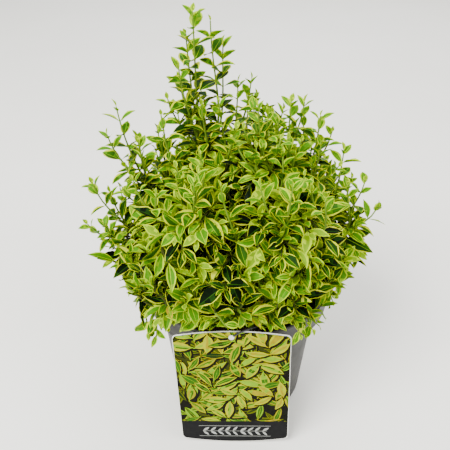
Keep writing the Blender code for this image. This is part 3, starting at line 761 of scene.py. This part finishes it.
    def growMass(self, name, heap, tubes):
        self.draw = random.Random(name)
        self.space = MassSpace(name, self.limbs)
        self.heap = heap
        self.tubes = tubes
        centre, fullness, shortShoots, shootTips = masses[name]
        axis = massAxis(centre)
        start = self.plan[name][0][-1] if name in self.plan else stemCentre(plant["stemHeight"])
        stem = curvePoints(start, blend(start, centre, 0.35), blend(start, centre, 0.75),
                           centre + axis * 0.004, 4)
        tubes.append((stem, [plant["boughTipRadius"] * (1 - 0.07 * step) for step in range(5)], 6, 1, None))
        nodes = [(low, (high - low).normalized()) for low, high in zip(stem, stem[1:])]
        for tip in self.bodyTips(name, axis, fullness):
            points = self.growTwig(bodyTwig, nodes, tip)
            if points:
                self.leafUp(bodyTwig, points, sprayKind(tip, self.draw.random()))
        targets = shootTips + self.shortTips(shortShoots)
        body = [row for row in nodes if row[0].z < centre.z + twig["shootsFrom"]]
        for target in targets:
            points = self.growTwig(shootTwig, list(body), target)
            self.leafUp(shootTwig, points, "bright")


# How close the marks of the bark are, round the stem and along it, and their depth by its radius
bark = {
    "ridges": (2.1, 60, 0.09),
    "stemFlakes": (520, 0.05),
    "boughFlakes": (420, 0.07),
}


def flakes(point, kind):
    perMetre, depth = bark[kind]
    return depth * noise.noise(point * perMetre)


def stemGrain(point, turn):
    # Shallow ridges along the stem, broken by cross cracks
    around, perMetre, depth = bark["ridges"]
    ridge = noise.noise(Vector((math.cos(turn) * around, math.sin(turn) * around, point.z * perMetre)))
    return 1 + depth * ridge + flakes(point, "stemFlakes")


def boughGrain(point, turn):
    return 1 + flakes(point, "boughFlakes")


def stemMaterials():
    # Young green bark: smooth and dull, with a waxy green skin
    green = makeMaterial("greenBark", {"Roughness": 0.5, "Specular IOR Level": 0.08},
                         ("#587418", "#647E1E"), 180, bump=(1400, 0.0001, 0.4, 3))
    # Second-year bark: grey-green, drying to brown in streaks
    grey = makeMaterial("greyGreenBark", {"Roughness": 0.7, "Specular IOR Level": 0.08},
                        ("#364214", "#404418"), 140, bump=(900, 0.0002, 0.6, 3))
    # Old bark: corky and matt, brown-grey with pale cracks
    brown = makeMaterial("corkyBark", {"Roughness": 0.88}, ("#3C2F22", "#5E5040"), 320, (0.4, 0.6),
                         bump=(700, 0.0005, 0.9, 6))
    return [green, grey, brown]


def buildPlant(variants):
    plan = boughPlan()
    limbs = []
    for points, radii in plan.values():
        limbs += list(zip(points, points[1:], radii))
    barks = stemMaterials()

    # Main stem and boughs with the bark's relief
    steps = plant["stemSteps"]
    heights = [plant["stemHeight"] * (step / steps) ** 1.3 for step in range(steps + 1)]
    tubes = [([stemCentre(height) for height in heights], [stemRadius(height) for height in heights],
              plant["stemSides"], 2, stemGrain)]
    tubes += [(points, radii, plant["boughSides"], 1, boughGrain) for points, radii in plan.values()]
    woody = skinTubes("woodyFrame", tubes, barks)
    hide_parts("main_stem", *[name.replace("foliage", "bough") for name in plan])
    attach(woody, "root")

    materials = leafMaterials()
    grower = Grower(plan, limbs)
    # Each region of the crown and the masses in it
    regions = {
        "Crest": ("foliage_heart", "foliage_top_crest", "foliage_top_centre"),
        "TopSides": ("foliage_top_left", "foliage_top_right"),
        "TopBack": ("foliage_top_back_left", "foliage_top_back_right"),
        "TopFront": ("foliage_top_front_left", "foliage_top_front_right"),
        "Inner": [name for name in masses if name.startswith("foliage_inner")],
        "SkirtFront": [name for name in masses if name.startswith("foliage_skirt_front")],
        "SkirtSides": ("foliage_skirt_left", "foliage_skirt_right"),
        "SkirtBack": [name for name in masses if name.startswith("foliage_skirt_back")],
    }
    total = 0
    for region, names in regions.items():
        heap = LeafHeap()
        tubes = []
        for name in names:
            grower.growMass(name, heap, tubes)
        leaves = heap.makePiece("leaves" + region, variants, materials)
        twigs = skinTubes("twigs" + region, tubes, barks)
        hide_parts(*names)
        for piece in (leaves, twigs):
            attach(piece, "root")
        total += len(heap.rows)
        print("crown", region, len(heap.rows), "leaves", len(tubes), "twigs")
    print("leaves in all:", total)


# Pot: injection-moulded grey polypropylene with a wider collar and a rolled lip

pot = {
    "sides": 128,
    # Radius and height round the wall, from the middle of the underside to the inner floor
    "wall": ((0.0015, 0.0022), (0.0600, 0.0022), (0.0612, 0.0018), (0.0630, 0.0000), (0.0690, 0.0000),
             (0.0704, 0.0006), (0.0711, 0.0024), (0.0717, 0.0090), (0.0757, 0.0500), (0.0799, 0.0920),
             (0.0825, 0.1190), (0.0830, 0.1222), (0.0842, 0.1236), (0.0890, 0.1243), (0.0934, 0.1248),
             (0.0942, 0.1256), (0.0944, 0.1272), (0.0941, 0.1286), (0.0943, 0.1310), (0.0946, 0.1400),
             (0.0947, 0.1452), (0.0950, 0.1464), (0.0952, 0.1478), (0.0950, 0.1492), (0.0943, 0.1500),
             (0.0934, 0.1500), (0.0928, 0.1492), (0.0926, 0.1470), (0.0922, 0.1310), (0.0918, 0.1268),
             (0.0826, 0.1258), (0.0810, 0.1232), (0.0692, 0.0080), (0.0650, 0.0040), (0.0015, 0.0040)),
    "holes": 8,
    "holeRadius": 0.0048,
    "holeRing": 0.050,
    "holeSides": 24,
    "floorMiddle": 0.003,         # the holes are cut through the floor from here
    "drillLength": 0.01,
}

soil = {
    "sides": 120,
    "rings": 26,
    # Radius and height from the middle of its underside up to where it meets the collar
    "wall": ((0.0015, 0.0060), (0.0645, 0.0060), (0.0685, 0.0100), (0.0804, 0.1235), (0.0822, 0.1268),
             (0.0914, 0.1278)),
    "edgeRadius": 0.0914,
    "level": 0.1330,
    "sag": 0.0035,
    "lumps": 0.0016,
    "lumpsPerMetre": (170, 420),
    "lumpsAbove": 0.1285,
    "settled": 0.0004,
    "crumbs": 1500,
    "crumbKinds": 5,
    "crumbVaries": (0.7, 1.25),
    "crumbSize": (0.0010, 0.0028),
    "crumbShape": (1.0, 0.7, 0.5),
    "peatShare": 0.6,             # of the crumbs; the others are chips of bark
}


def turnRound(name, sides, wall):
    # Draws a ring up, out and in along the wall's outline, then closes both ends
    selectOnly()
    bpy.ops.mesh.primitive_circle_add(vertices=sides, radius=wall[0][0], location=(0, 0, wall[0][1]))
    piece = bpy.context.object
    piece.name = name
    bpy.ops.object.transform_apply(location=True)
    bpy.ops.object.mode_set(mode="EDIT")
    bpy.ops.mesh.select_all(action="SELECT")
    for before, after in zip(wall, wall[1:]):
        bpy.ops.mesh.extrude_region_move(
            TRANSFORM_OT_translate={"value": (0, 0, after[1] - before[1])})
        grow = after[0] / before[0]
        bpy.ops.transform.resize(value=(grow, grow, 1), center_override=(0, 0, after[1]))
    bpy.ops.mesh.edge_face_add()
    bpy.ops.mesh.select_all(action="DESELECT")
    shape = bmesh.from_edit_mesh(piece.data)
    for edge in shape.edges:
        edge.select_set(edge.is_boundary)
    bpy.ops.mesh.edge_face_add()
    bpy.ops.mesh.select_all(action="SELECT")
    bpy.ops.mesh.normals_make_consistent(inside=False)
    bpy.ops.object.mode_set(mode="OBJECT")
    return piece


def cutHoles(piece):
    # Drainage holes through the floor, cut by a ring of cylinders
    selectOnly()
    drills = []
    for index in range(pot["holes"]):
        turn = math.tau * index / pot["holes"]
        place = (math.cos(turn) * pot["holeRing"], math.sin(turn) * pot["holeRing"], pot["floorMiddle"])
        bpy.ops.mesh.primitive_cylinder_add(vertices=pot["holeSides"], radius=pot["holeRadius"],
                                            depth=pot["drillLength"], location=place)
        drills.append(bpy.context.object)
    drill = joinPieces("drill", drills)
    cut = piece.modifiers.new("drainage", "BOOLEAN")
    cut.operation = "DIFFERENCE"
    cut.object = drill
    bpy.context.view_layer.objects.active = piece
    bpy.ops.object.modifier_apply(modifier=cut.name)
    bpy.data.objects.remove(drill)


def buildPot():
    piece = turnRound("greyPot", pot["sides"], pot["wall"])
    cutHoles(piece)
    shadeSmooth(piece, 32)
    # Moulded polypropylene: an even satin grey with a fine spark-eroded grain and a few scuffs
    grey = makeMaterial("mouldedGreyPolypropylene", {"IOR": 1.49, "Specular IOR Level": 0.22},
                        ("#2E2D2C", "#363533"), 22, bump=(1600, 0.00006, 0.5, 2))
    tree = grey.node_tree
    scuffs = addNode(tree, "ShaderNodeTexNoise", inputs={
        "Vector": tree.nodes["Texture Coordinate"].outputs["Object"], "Scale": 38, "Detail": 5})
    worn = addNode(tree, "ShaderNodeMapRange", inputs={
        "Value": scuffs.outputs["Fac"], "From Min": 0.35, "From Max": 0.75, "To Min": 0.42, "To Max": 0.60})
    tree.links.new(worn.outputs["Result"], tree.nodes["Principled BSDF"].inputs["Roughness"])
    piece.data.materials.append(grey)
    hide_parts("pot")
    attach(piece, "root")
    print("pot:", len(piece.data.polygons), "faces")


def crumbShape(draw):
    selectOnly()
    bpy.ops.mesh.primitive_ico_sphere_add(subdivisions=1, radius=1)
    crumb = bpy.context.object
    points = np.array([vert.co * draw.uniform(*soil["crumbVaries"]) for vert in crumb.data.vertices])
    faces = np.array([list(face.vertices) for face in crumb.data.polygons])
    bpy.data.objects.remove(crumb)
    return points * np.array(soil["crumbShape"]), faces


def soilHeight(inward):
    # The soil's height at this share of the way from its edge to its middle
    return soil["level"] - soil["sag"] * (1 - inward) ** 2


def buildSoil():
    # Rings from the wall to the middle, lumpy on top
    rings = [index / soil["rings"] for index in range(soil["rings"] + 1)]
    wall = list(soil["wall"])
    wall += [(blend(soil["edgeRadius"], wall[0][0], share), soilHeight(share)) for share in rings]
    piece = turnRound("pottingMix", soil["sides"], wall)
    coarse, fine = soil["lumpsPerMetre"]
    for vert in piece.data.vertices:
        around = math.hypot(vert.co.x, vert.co.y)
        if vert.co.z > soil["lumpsAbove"] and around < soil["edgeRadius"] * 0.995:
            lump = noise.noise(vert.co * coarse) + 0.6 * noise.noise(vert.co * fine)
            vert.co.z += soil["lumps"] * lump - soil["settled"]
    shadeSmooth(piece, 40)
    # Peat and composted bark: dark brown, open and matt, a little damp low down
    peat = makeMaterial("peatMix", {"Roughness": 0.95}, ("#1E130C", "#3A2818"), 320,
                        bump=(900, 0.0009, 0.9, 6))
    chip = makeMaterial("barkChip", {"Roughness": 0.9}, ("#4A3120", "#6B4A30"), 240,
                        bump=(800, 0.0004, 0.8, 5))
    piece.data.materials.append(peat)
    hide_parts("potting_soil")

    draw = random.Random("crumbs")
    shapes = [crumbShape(draw) for _ in range(soil["crumbKinds"])]
    patches = Patches()
    for index in range(soil["crumbs"]):
        around = soil["edgeRadius"] * 0.97 * math.sqrt(draw.random())
        turn = draw.uniform(0, math.tau)
        size = draw.uniform(*soil["crumbSize"])
        height = soilHeight(1 - around / soil["edgeRadius"]) + size * 0.1
        axis = [draw.gauss(0, 1) for _ in range(3)]
        spin = np.array(Quaternion(axis, draw.uniform(0, math.tau)).to_matrix())
        shape, corners = shapes[index % len(shapes)]
        centre = (math.cos(turn) * around, math.sin(turn) * around, height)
        patches.add(shape @ spin.T * size + centre, corners, int(draw.random() >= soil["peatShare"]))
    crumbs = patches.makePiece("soilCrumbs", [peat, chip])
    for item in (piece, crumbs):
        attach(item, "root")
    print("soil:", soil["crumbs"], "crumbs")


# Label: a printed card that hangs by one hole from a dark clip on the rim. Its print is a plain
# pattern of leaves over a black band with a garland. Heights are above the card's foot

label = {
    "width": 0.110,
    "height": 0.158,
    "arch": 0.005,
    "corner": 0.0045,
    "thickness": 0.0010,
    "centreX": -0.006,
    "foot": 0.0015,
    "back": -0.0970,
    "turn": 1.2,                  # degrees in its own plane
    "swing": 1.4,                 # degrees round the upright
    "holeBelowTop": 0.0065,
    "clear": 0.0008,              # leaves keep this far from the card
    "border": 0.0006,
    "ink": 0.00006,               # the print stands this far in front of the card
    "inkStep": 0.010,             # and each printed leaf this share of it before the last
    "shadeAbove": 0.105,          # the ground of the picture is olive above this, dark below
    "bandTop": 0.0330,
    "garlandMiddle": 0.0177,      # a row of small leaves between two rules
    "garlandLeaves": 9,
    "garlandLeaf": 0.0088,
    "garlandReach": 0.033,
    "garlandLeans": (0.65, 0.95),
    "garlandBreadth": 0.8,        # beside the living leaf
    "ruleHeights": (0.0096, 0.0258),
    "ruleWidth": 0.0005,
    "printMargins": (0.22, 0.34, 0.46, 0.58, 0.70),
    "cellSpots": ((0.05, 0.95), (0.1, 0.9)),   # where a sprig may stand in its cell, across and down
    "sprigTurn": 0.22,            # how far a leaf turns off its place in the sprig
    "printBreadths": (0.8, 1.2),
    "printBend": 0.35,
    "shadow": (1.07, 0.06),       # a printed leaf's shadow: its size and how far it falls
    "gridSize": (60, 36),
    "bandRows": 7,
}
inkColours = {
    "night": ("#070802", "#0F0F05"),
    "shadowLeaf": ("#262C02", "#303404"),
    "oliveLeaf": ("#5E6600", "#4E5600"),
    "goldLeaf": ("#928600", "#827600"),
    "yellowLeaf": ("#8E8A00", "#807C00"),
    "lemonLeaf": ("#9C9E00", "#8E9000"),
    "limeLeaf": ("#769C00", "#688C00"),
    "greenLeaf": ("#2E5C06", "#244C04"),
    "deepLeaf": ("#102C06", "#0C2406"),
    "black": ("#121213", "#161617"),
    "silver": ("#A2A3A0", "#94958F"),
}
# Layers of the printed picture from the back to the front: how many sprigs, the shape of each,
# how long, how wide beside the living leaf, and the inks of margin, middle, blotch and rib
printLayers = (
    (80, "leaf", (0.020, 0.032), 0.66, (
        ("oliveLeaf", "shadowLeaf", "shadowLeaf", "oliveLeaf"),
        ("oliveLeaf", "deepLeaf", "shadowLeaf", "shadowLeaf"))),
    (36, "pair", (0.021, 0.031), 0.74, (
        ("goldLeaf", "deepLeaf", "greenLeaf", "oliveLeaf"),
        ("limeLeaf", "greenLeaf", "deepLeaf", "yellowLeaf"),
        ("yellowLeaf", "greenLeaf", "deepLeaf", "limeLeaf"),
        ("yellowLeaf", "limeLeaf", "greenLeaf", "limeLeaf"))),
    (18, "shoot", (0.019, 0.028), 0.92, (
        ("lemonLeaf", "limeLeaf", "greenLeaf", "limeLeaf"),
        ("lemonLeaf", "greenLeaf", "deepLeaf", "limeLeaf"),
        ("lemonLeaf", "goldLeaf", "limeLeaf", "goldLeaf"),
        ("yellowLeaf", "greenLeaf", "limeLeaf", "limeLeaf"))),
)
# How far up its stem each leaf of a sprig stands, in leaf lengths, and how it leans in degrees
sprigShapes = {
    "leaf": ((0.0, 0),),
    "pair": ((0.0, 50), (0.0, -50)),
    "shoot": ((0.0, 70), (0.0, -70), (0.40, 42), (0.40, -42), (0.72, 0)),
}
printHalf = label["width"] / 2 - label["border"]
inkSlots = {name: index for index, name in enumerate(inkColours)}


def labelEdges(across):
    # Lowest and highest point of the card at a distance from its middle, above the ground
    half = label["width"] / 2
    straight = half - label["corner"]
    bulge = label["arch"] * (1 - min(abs(across) / straight, 1) ** 2)
    over = min(max(abs(across) - straight, 0), label["corner"])
    drop = label["corner"] - math.sqrt(label["corner"] ** 2 - over ** 2)
    low = label["foot"] + label["arch"] - bulge + drop
    high = label["foot"] + label["height"] - label["arch"] + bulge - drop
    return low, high


def printEdges(across):
    # The same for the print, inside the white border and above the card's foot
    low, high = labelEdges(across * ((label["width"] / 2) / printHalf))
    return low - label["foot"] + label["border"], high - label["foot"] - label["border"]


def hangCard(piece):
    # From flat, with its foot at the origin, to where the card hangs by its hole
    hole = label["height"] - label["holeBelowTop"]
    turn = Euler((0, -math.radians(label["turn"]), -math.radians(label["swing"])))
    place = Matrix.Translation((label["centreX"], label["back"], label["foot"] + hole))
    piece.data.transform(place @ turn.to_matrix().to_4x4() @ Matrix.Translation((0, 0, -hole)))
    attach(piece, "root")


def inkDepth(layer):
    return -label["thickness"] - label["ink"] * layer


def wayAndBeside(turn):
    # Along a turn in the card's plane and square to it
    way = np.array((math.cos(turn), math.sin(turn)))
    return way, np.array((-way[1], way[0]))


def buildGround(inks):
    # A fine grid bent to the card's outline: the picture's dark ground above, the black band below
    columns, rows = label["gridSize"]
    bandRows, bandTop = label["bandRows"], label["bandTop"]
    selectOnly()
    bpy.ops.mesh.primitive_grid_add(x_subdivisions=columns, y_subdivisions=rows, size=2)
    ground = bpy.context.object
    ground.name = "labelPrint"
    for vert in ground.data.vertices:
        across = vert.co.x * printHalf
        row = round((vert.co.y + 1) / 2 * rows)
        low, high = printEdges(across)
        if row <= bandRows:
            height = blend(low, bandTop, row / bandRows)
        else:
            height = blend(bandTop, high, (row - bandRows) / (rows - bandRows))
        vert.co = (across, inkDepth(1), height)
    for name in ("night", "black", "shadowLeaf"):
        ground.data.materials.append(inks[inkSlots[name]])
    for face in ground.data.polygons:
        height = face.center.z
        face.material_index = 1 if height < bandTop else 2 if height > label["shadeAbove"] else 0
    ground.data.update()
    if ground.data.polygons[0].normal.y > 0:
        ground.data.flip_normals()
    hangCard(ground)


def buildPrintedLeaves(variants, inks):
    # Sprigs that lie over one another, each leaf over its own cast shadow, inside the picture
    draw = random.Random("printed leaves")
    half = printHalf
    bottom = label["bandTop"]
    patches = Patches()
    layer = 0
    for count, sprig, lengths, breadth, palettes in printLayers:
        columns = max(round(math.sqrt(count * 0.85)), 1)
        rows = math.ceil(count / columns)
        for index in range(count):
            # One sprig to each cell of a loose grid, from the top row down
            beyond, below = [draw.uniform(*reach) for reach in label["cellSpots"]]
            across = blend(-half, half, (index % columns + beyond) / columns)
            height = blend(label["height"], bottom - 0.004, (index // columns + below) / rows)
            ahead = draw.uniform(-math.pi, math.pi)
            colours = [inkSlots[name] for name in draw.choice(palettes)]
            for upStem, lean in sprigShapes[sprig]:
                shape, faces, zones = variants[draw.randrange(len(variants))]
                turn = ahead + math.radians(lean) + either(draw, label["sprigTurn"])
                along, beside = wayAndBeside(turn)
                size = draw.uniform(*lengths)
                foot = wayAndBeside(ahead)[0] * upStem * size + (across, height)
                beside = beside * breadth * draw.uniform(*label["printBreadths"])
                bend = either(draw, label["printBend"])
                for grow, fall, inked in (label["shadow"] + ([inkSlots["night"]] * 4,), (1.0, 0, colours)):
                    layer += 1
                    depth = inkDepth(1.5 + label["inkStep"] * layer)
                    lengthwise = (shape[:, :1] - 0.5) * grow + 0.5
                    crosswise = shape[:, 1:2] * grow + bend * (lengthwise - 0.5) ** 2
                    flat = (lengthwise * along + crosswise * beside + (fall, -fall)) * size + foot
                    points = []
                    for x, z in flat:
                        x = min(max(x, -half), half)
                        points.append((x, depth, min(max(z, bottom), printEdges(x)[1])))
                    patches.add(points, faces, np.array(inked)[zones])
    hangCard(patches.makePiece("labelPrintedLeaves", inks))


def buildGarland(variants, inks):
    # A row of small pale leaves along a stem between two thin rules
    reach, width, middle = label["garlandReach"], label["ruleWidth"], label["garlandMiddle"]
    pale = inkSlots["silver"]
    patches = Patches()
    rules = [(height, reach * 1.12, width) for height in label["ruleHeights"]]
    for height, half, width in rules + [(middle, reach, width * 0.8)]:
        corners = ((-half, -width), (half, -width), (half, width), (-half, width))
        patches.add([(x, inkDepth(9), height + z / 2) for x, z in corners], [(0, 1, 2, 3)], pale)
    draw = random.Random("garland")
    for index in range(label["garlandLeaves"]):
        across = blend(-reach, reach * 0.86, index / (label["garlandLeaves"] - 1))
        for side in (-1, 1):
            shape, faces, _ = variants[draw.randrange(len(variants))]
            along, beside = wayAndBeside(side * draw.uniform(*label["garlandLeans"]))
            beside = beside * label["garlandBreadth"]
            flat = (shape[:, :1] * along + shape[:, 1:2] * beside) * label["garlandLeaf"]
            points = [(across + x, inkDepth(9.4 + 0.02 * index), middle + z) for x, z in flat]
            patches.add(points, faces, pale)
    hangCard(patches.makePiece("labelGarland", inks))


def buildLabel():
    # Coated card: bright white, thin and smooth
    white = makeMaterial("coatedWhiteCard", {"Roughness": 0.4, "IOR": 1.5, "Specular IOR Level": 0.3},
                         ("#E9E8DF", "#E2E1D8"), 60)
    card = bpy.data.objects["label_card"]
    card.data.materials.clear()
    card.data.materials.append(white)
    # Offset ink under a thin matt varnish: flat, even colour with hardly any shine
    varnish = {"Roughness": 0.5, "IOR": 1.5, "Specular IOR Level": 0.04}
    inks = [makeMaterial(name + "Ink", varnish, colours, 160) for name, colours in inkColours.items()]
    draw = random.Random("printed shapes")
    variants = [leafVariant(draw, share) for share in label["printMargins"]]
    buildGround(inks)
    buildPrintedLeaves(variants, inks)
    buildGarland(variants, inks)
    print("label printed")


# Clip: a dark strap over the rim with a tab, a pale rivet that the card hangs from, and a
# thin loop that ties the card to the plant

clip = {
    "width": 0.014,
    "thickness": 0.0012,
    "foot": 0.134,
    "strapTop": 0.1515,
    "tabTop": 0.157,
    "front": -0.0965,
    "shankEnd": 0.0005,           # in front of the card
    "innerLeg": (-0.0903, -0.0891),
    "rivetRadii": (0.0015, 0.0027),
    "rivetSides": 24,
    "rivetHead": 0.0012,
    "edge": 0.0003,
    "loop": ((-0.0040, -0.0992, 0.1548), (0.0000, -0.1004, 0.1598), (0.0060, -0.0992, 0.1622),
             (0.0140, -0.0940, 0.1606), (0.0200, -0.0860, 0.1560)),
    "loopRadius": 0.0009,
}


def strapPiece(y, z, depth, height):
    # A flat plastic bar with its edges broken
    selectOnly()
    bpy.ops.mesh.primitive_cube_add(size=1)
    bar = bpy.context.object
    bar.data.transform(Matrix.Translation((label["centreX"], y, z))
                       @ Matrix.Diagonal((clip["width"], depth, height, 1)))
    bevelEdges(bar, clip["edge"])
    return bar


def rivetPiece(radius, start, end):
    # A round along the rivet's axis, between two depths
    selectOnly()
    bpy.ops.mesh.primitive_cylinder_add(vertices=clip["rivetSides"], radius=radius, depth=start - end)
    part = bpy.context.object
    hole = label["foot"] + label["height"] - label["holeBelowTop"]
    part.data.transform(Matrix.Translation((label["centreX"], (start + end) / 2, hole))
                        @ Matrix.Rotation(math.pi / 2, 4, "X"))
    bevelEdges(part, clip["edge"])
    return part


def buildClip():
    # Dark polypropylene, moulded, with a dull surface
    dark = makeMaterial("darkPolypropylene", {"Roughness": 0.5}, ("#1B1B1C", "#232325"), 300)
    # White nylon of the rivet, smooth
    pale = makeMaterial("whiteNylon", {"Roughness": 0.4}, ("#DEDFD8", "#D2D3CC"), 300)
    thickness, foot, top, tabTop = (clip[name] for name in ("thickness", "foot", "strapTop", "tabTop"))
    front, leg, back = clip["front"], sum(clip["innerLeg"]) / 2, clip["innerLeg"][1]
    strap = joinPieces("labelStrap", [
        strapPiece(front + thickness / 2, (foot + tabTop) / 2, thickness, tabTop - foot),
        strapPiece((front + back) / 2, top - thickness / 2, back - front, thickness),
        strapPiece(leg, (foot + top) / 2, thickness, top - foot)])
    strap.data.materials.append(dark)
    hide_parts("label_clip")

    cardFront = label["back"] - label["thickness"] - clip["shankEnd"]
    shank, head = clip["rivetRadii"]
    rivet = joinPieces("labelRivet", [
        rivetPiece(shank, front, cardFront),
        rivetPiece(head, cardFront, cardFront - clip["rivetHead"])])
    rivet.data.materials.append(pale)

    *bend, end = [Vector(point) for point in clip["loop"]]
    points = curvePoints(*bend, 16) + [end]
    loop = skinTubes("labelLoop", [(points, [clip["loopRadius"]] * len(points), 8, 0, None)], [dark])
    for piece in (strap, rivet, loop):
        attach(piece, "root")
    print("clip built")


# Floor, light and camera

studio = {
    "floorSize": 9.0,
    "floorDrop": 0.0002,
    "floorColours": ("#F8F6EE", "#F5F3EA"),
    "cameraPlace": (0, -0.497, 0.543),
    "cameraPitch": 33.8,
    "lens": 48,
    "sensor": 36,
    "nearest": 0.02,
    "shift": -0.0289,
    "worldColour": "#F2F4F6",
    "worldStrength": 1.12,
    # Name, place, side and power
    "lights": (("keyLight", (-0.9, -1.1, 1.9), 1.1, 105),
               ("fillLight", (1.3, -0.7, 1.3), 1.6, 24),
               ("backLight", (0.3, 1.4, 1.6), 1.6, 26)),
    "aim": (0, 0, 0.2),
}


def buildStudio():
    selectOnly()
    bpy.ops.mesh.primitive_plane_add(size=studio["floorSize"], location=(0, 0, -studio["floorDrop"]))
    floor = bpy.context.object
    floor.name = "studioFloor"
    # Matt paper: even and warm white
    floor.data.materials.append(makeMaterial("mattPaper", {"Roughness": 0.9}, studio["floorColours"], 3))

    world = bpy.data.worlds.new("softRoom")
    world.use_nodes = True
    background = world.node_tree.nodes["Background"]
    background.inputs["Color"].default_value = linear(studio["worldColour"])
    background.inputs["Strength"].default_value = studio["worldStrength"]
    bpy.context.scene.world = world
    for name, place, size, power in studio["lights"]:
        bpy.ops.object.light_add(type="AREA", location=place)
        lamp = bpy.context.object
        lamp.name = name
        lamp.data.size = size
        lamp.data.energy = power
        lamp.rotation_euler = (Vector(studio["aim"]) - Vector(place)).to_track_quat("-Z", "Y").to_euler()

    pitch = math.radians(90 - studio["cameraPitch"])
    bpy.ops.object.camera_add(location=studio["cameraPlace"], rotation=(pitch, 0, 0))
    camera = bpy.context.object
    camera.data.lens = studio["lens"]
    camera.data.sensor_width = studio["sensor"]
    camera.data.shift_x = studio["shift"]
    camera.data.clip_start = studio["nearest"]
    bpy.context.scene.camera = camera
    print("studio set")


draw = random.Random("leaf shapes")
leafVariants = [leafVariant(draw, blend(*leaf["margins"], index / (leaf["variants"] - 1)))
                for index in range(leaf["variants"])]
buildPot()
buildSoil()
buildLabel()
buildClip()
buildPlant(leafVariants)
buildStudio()
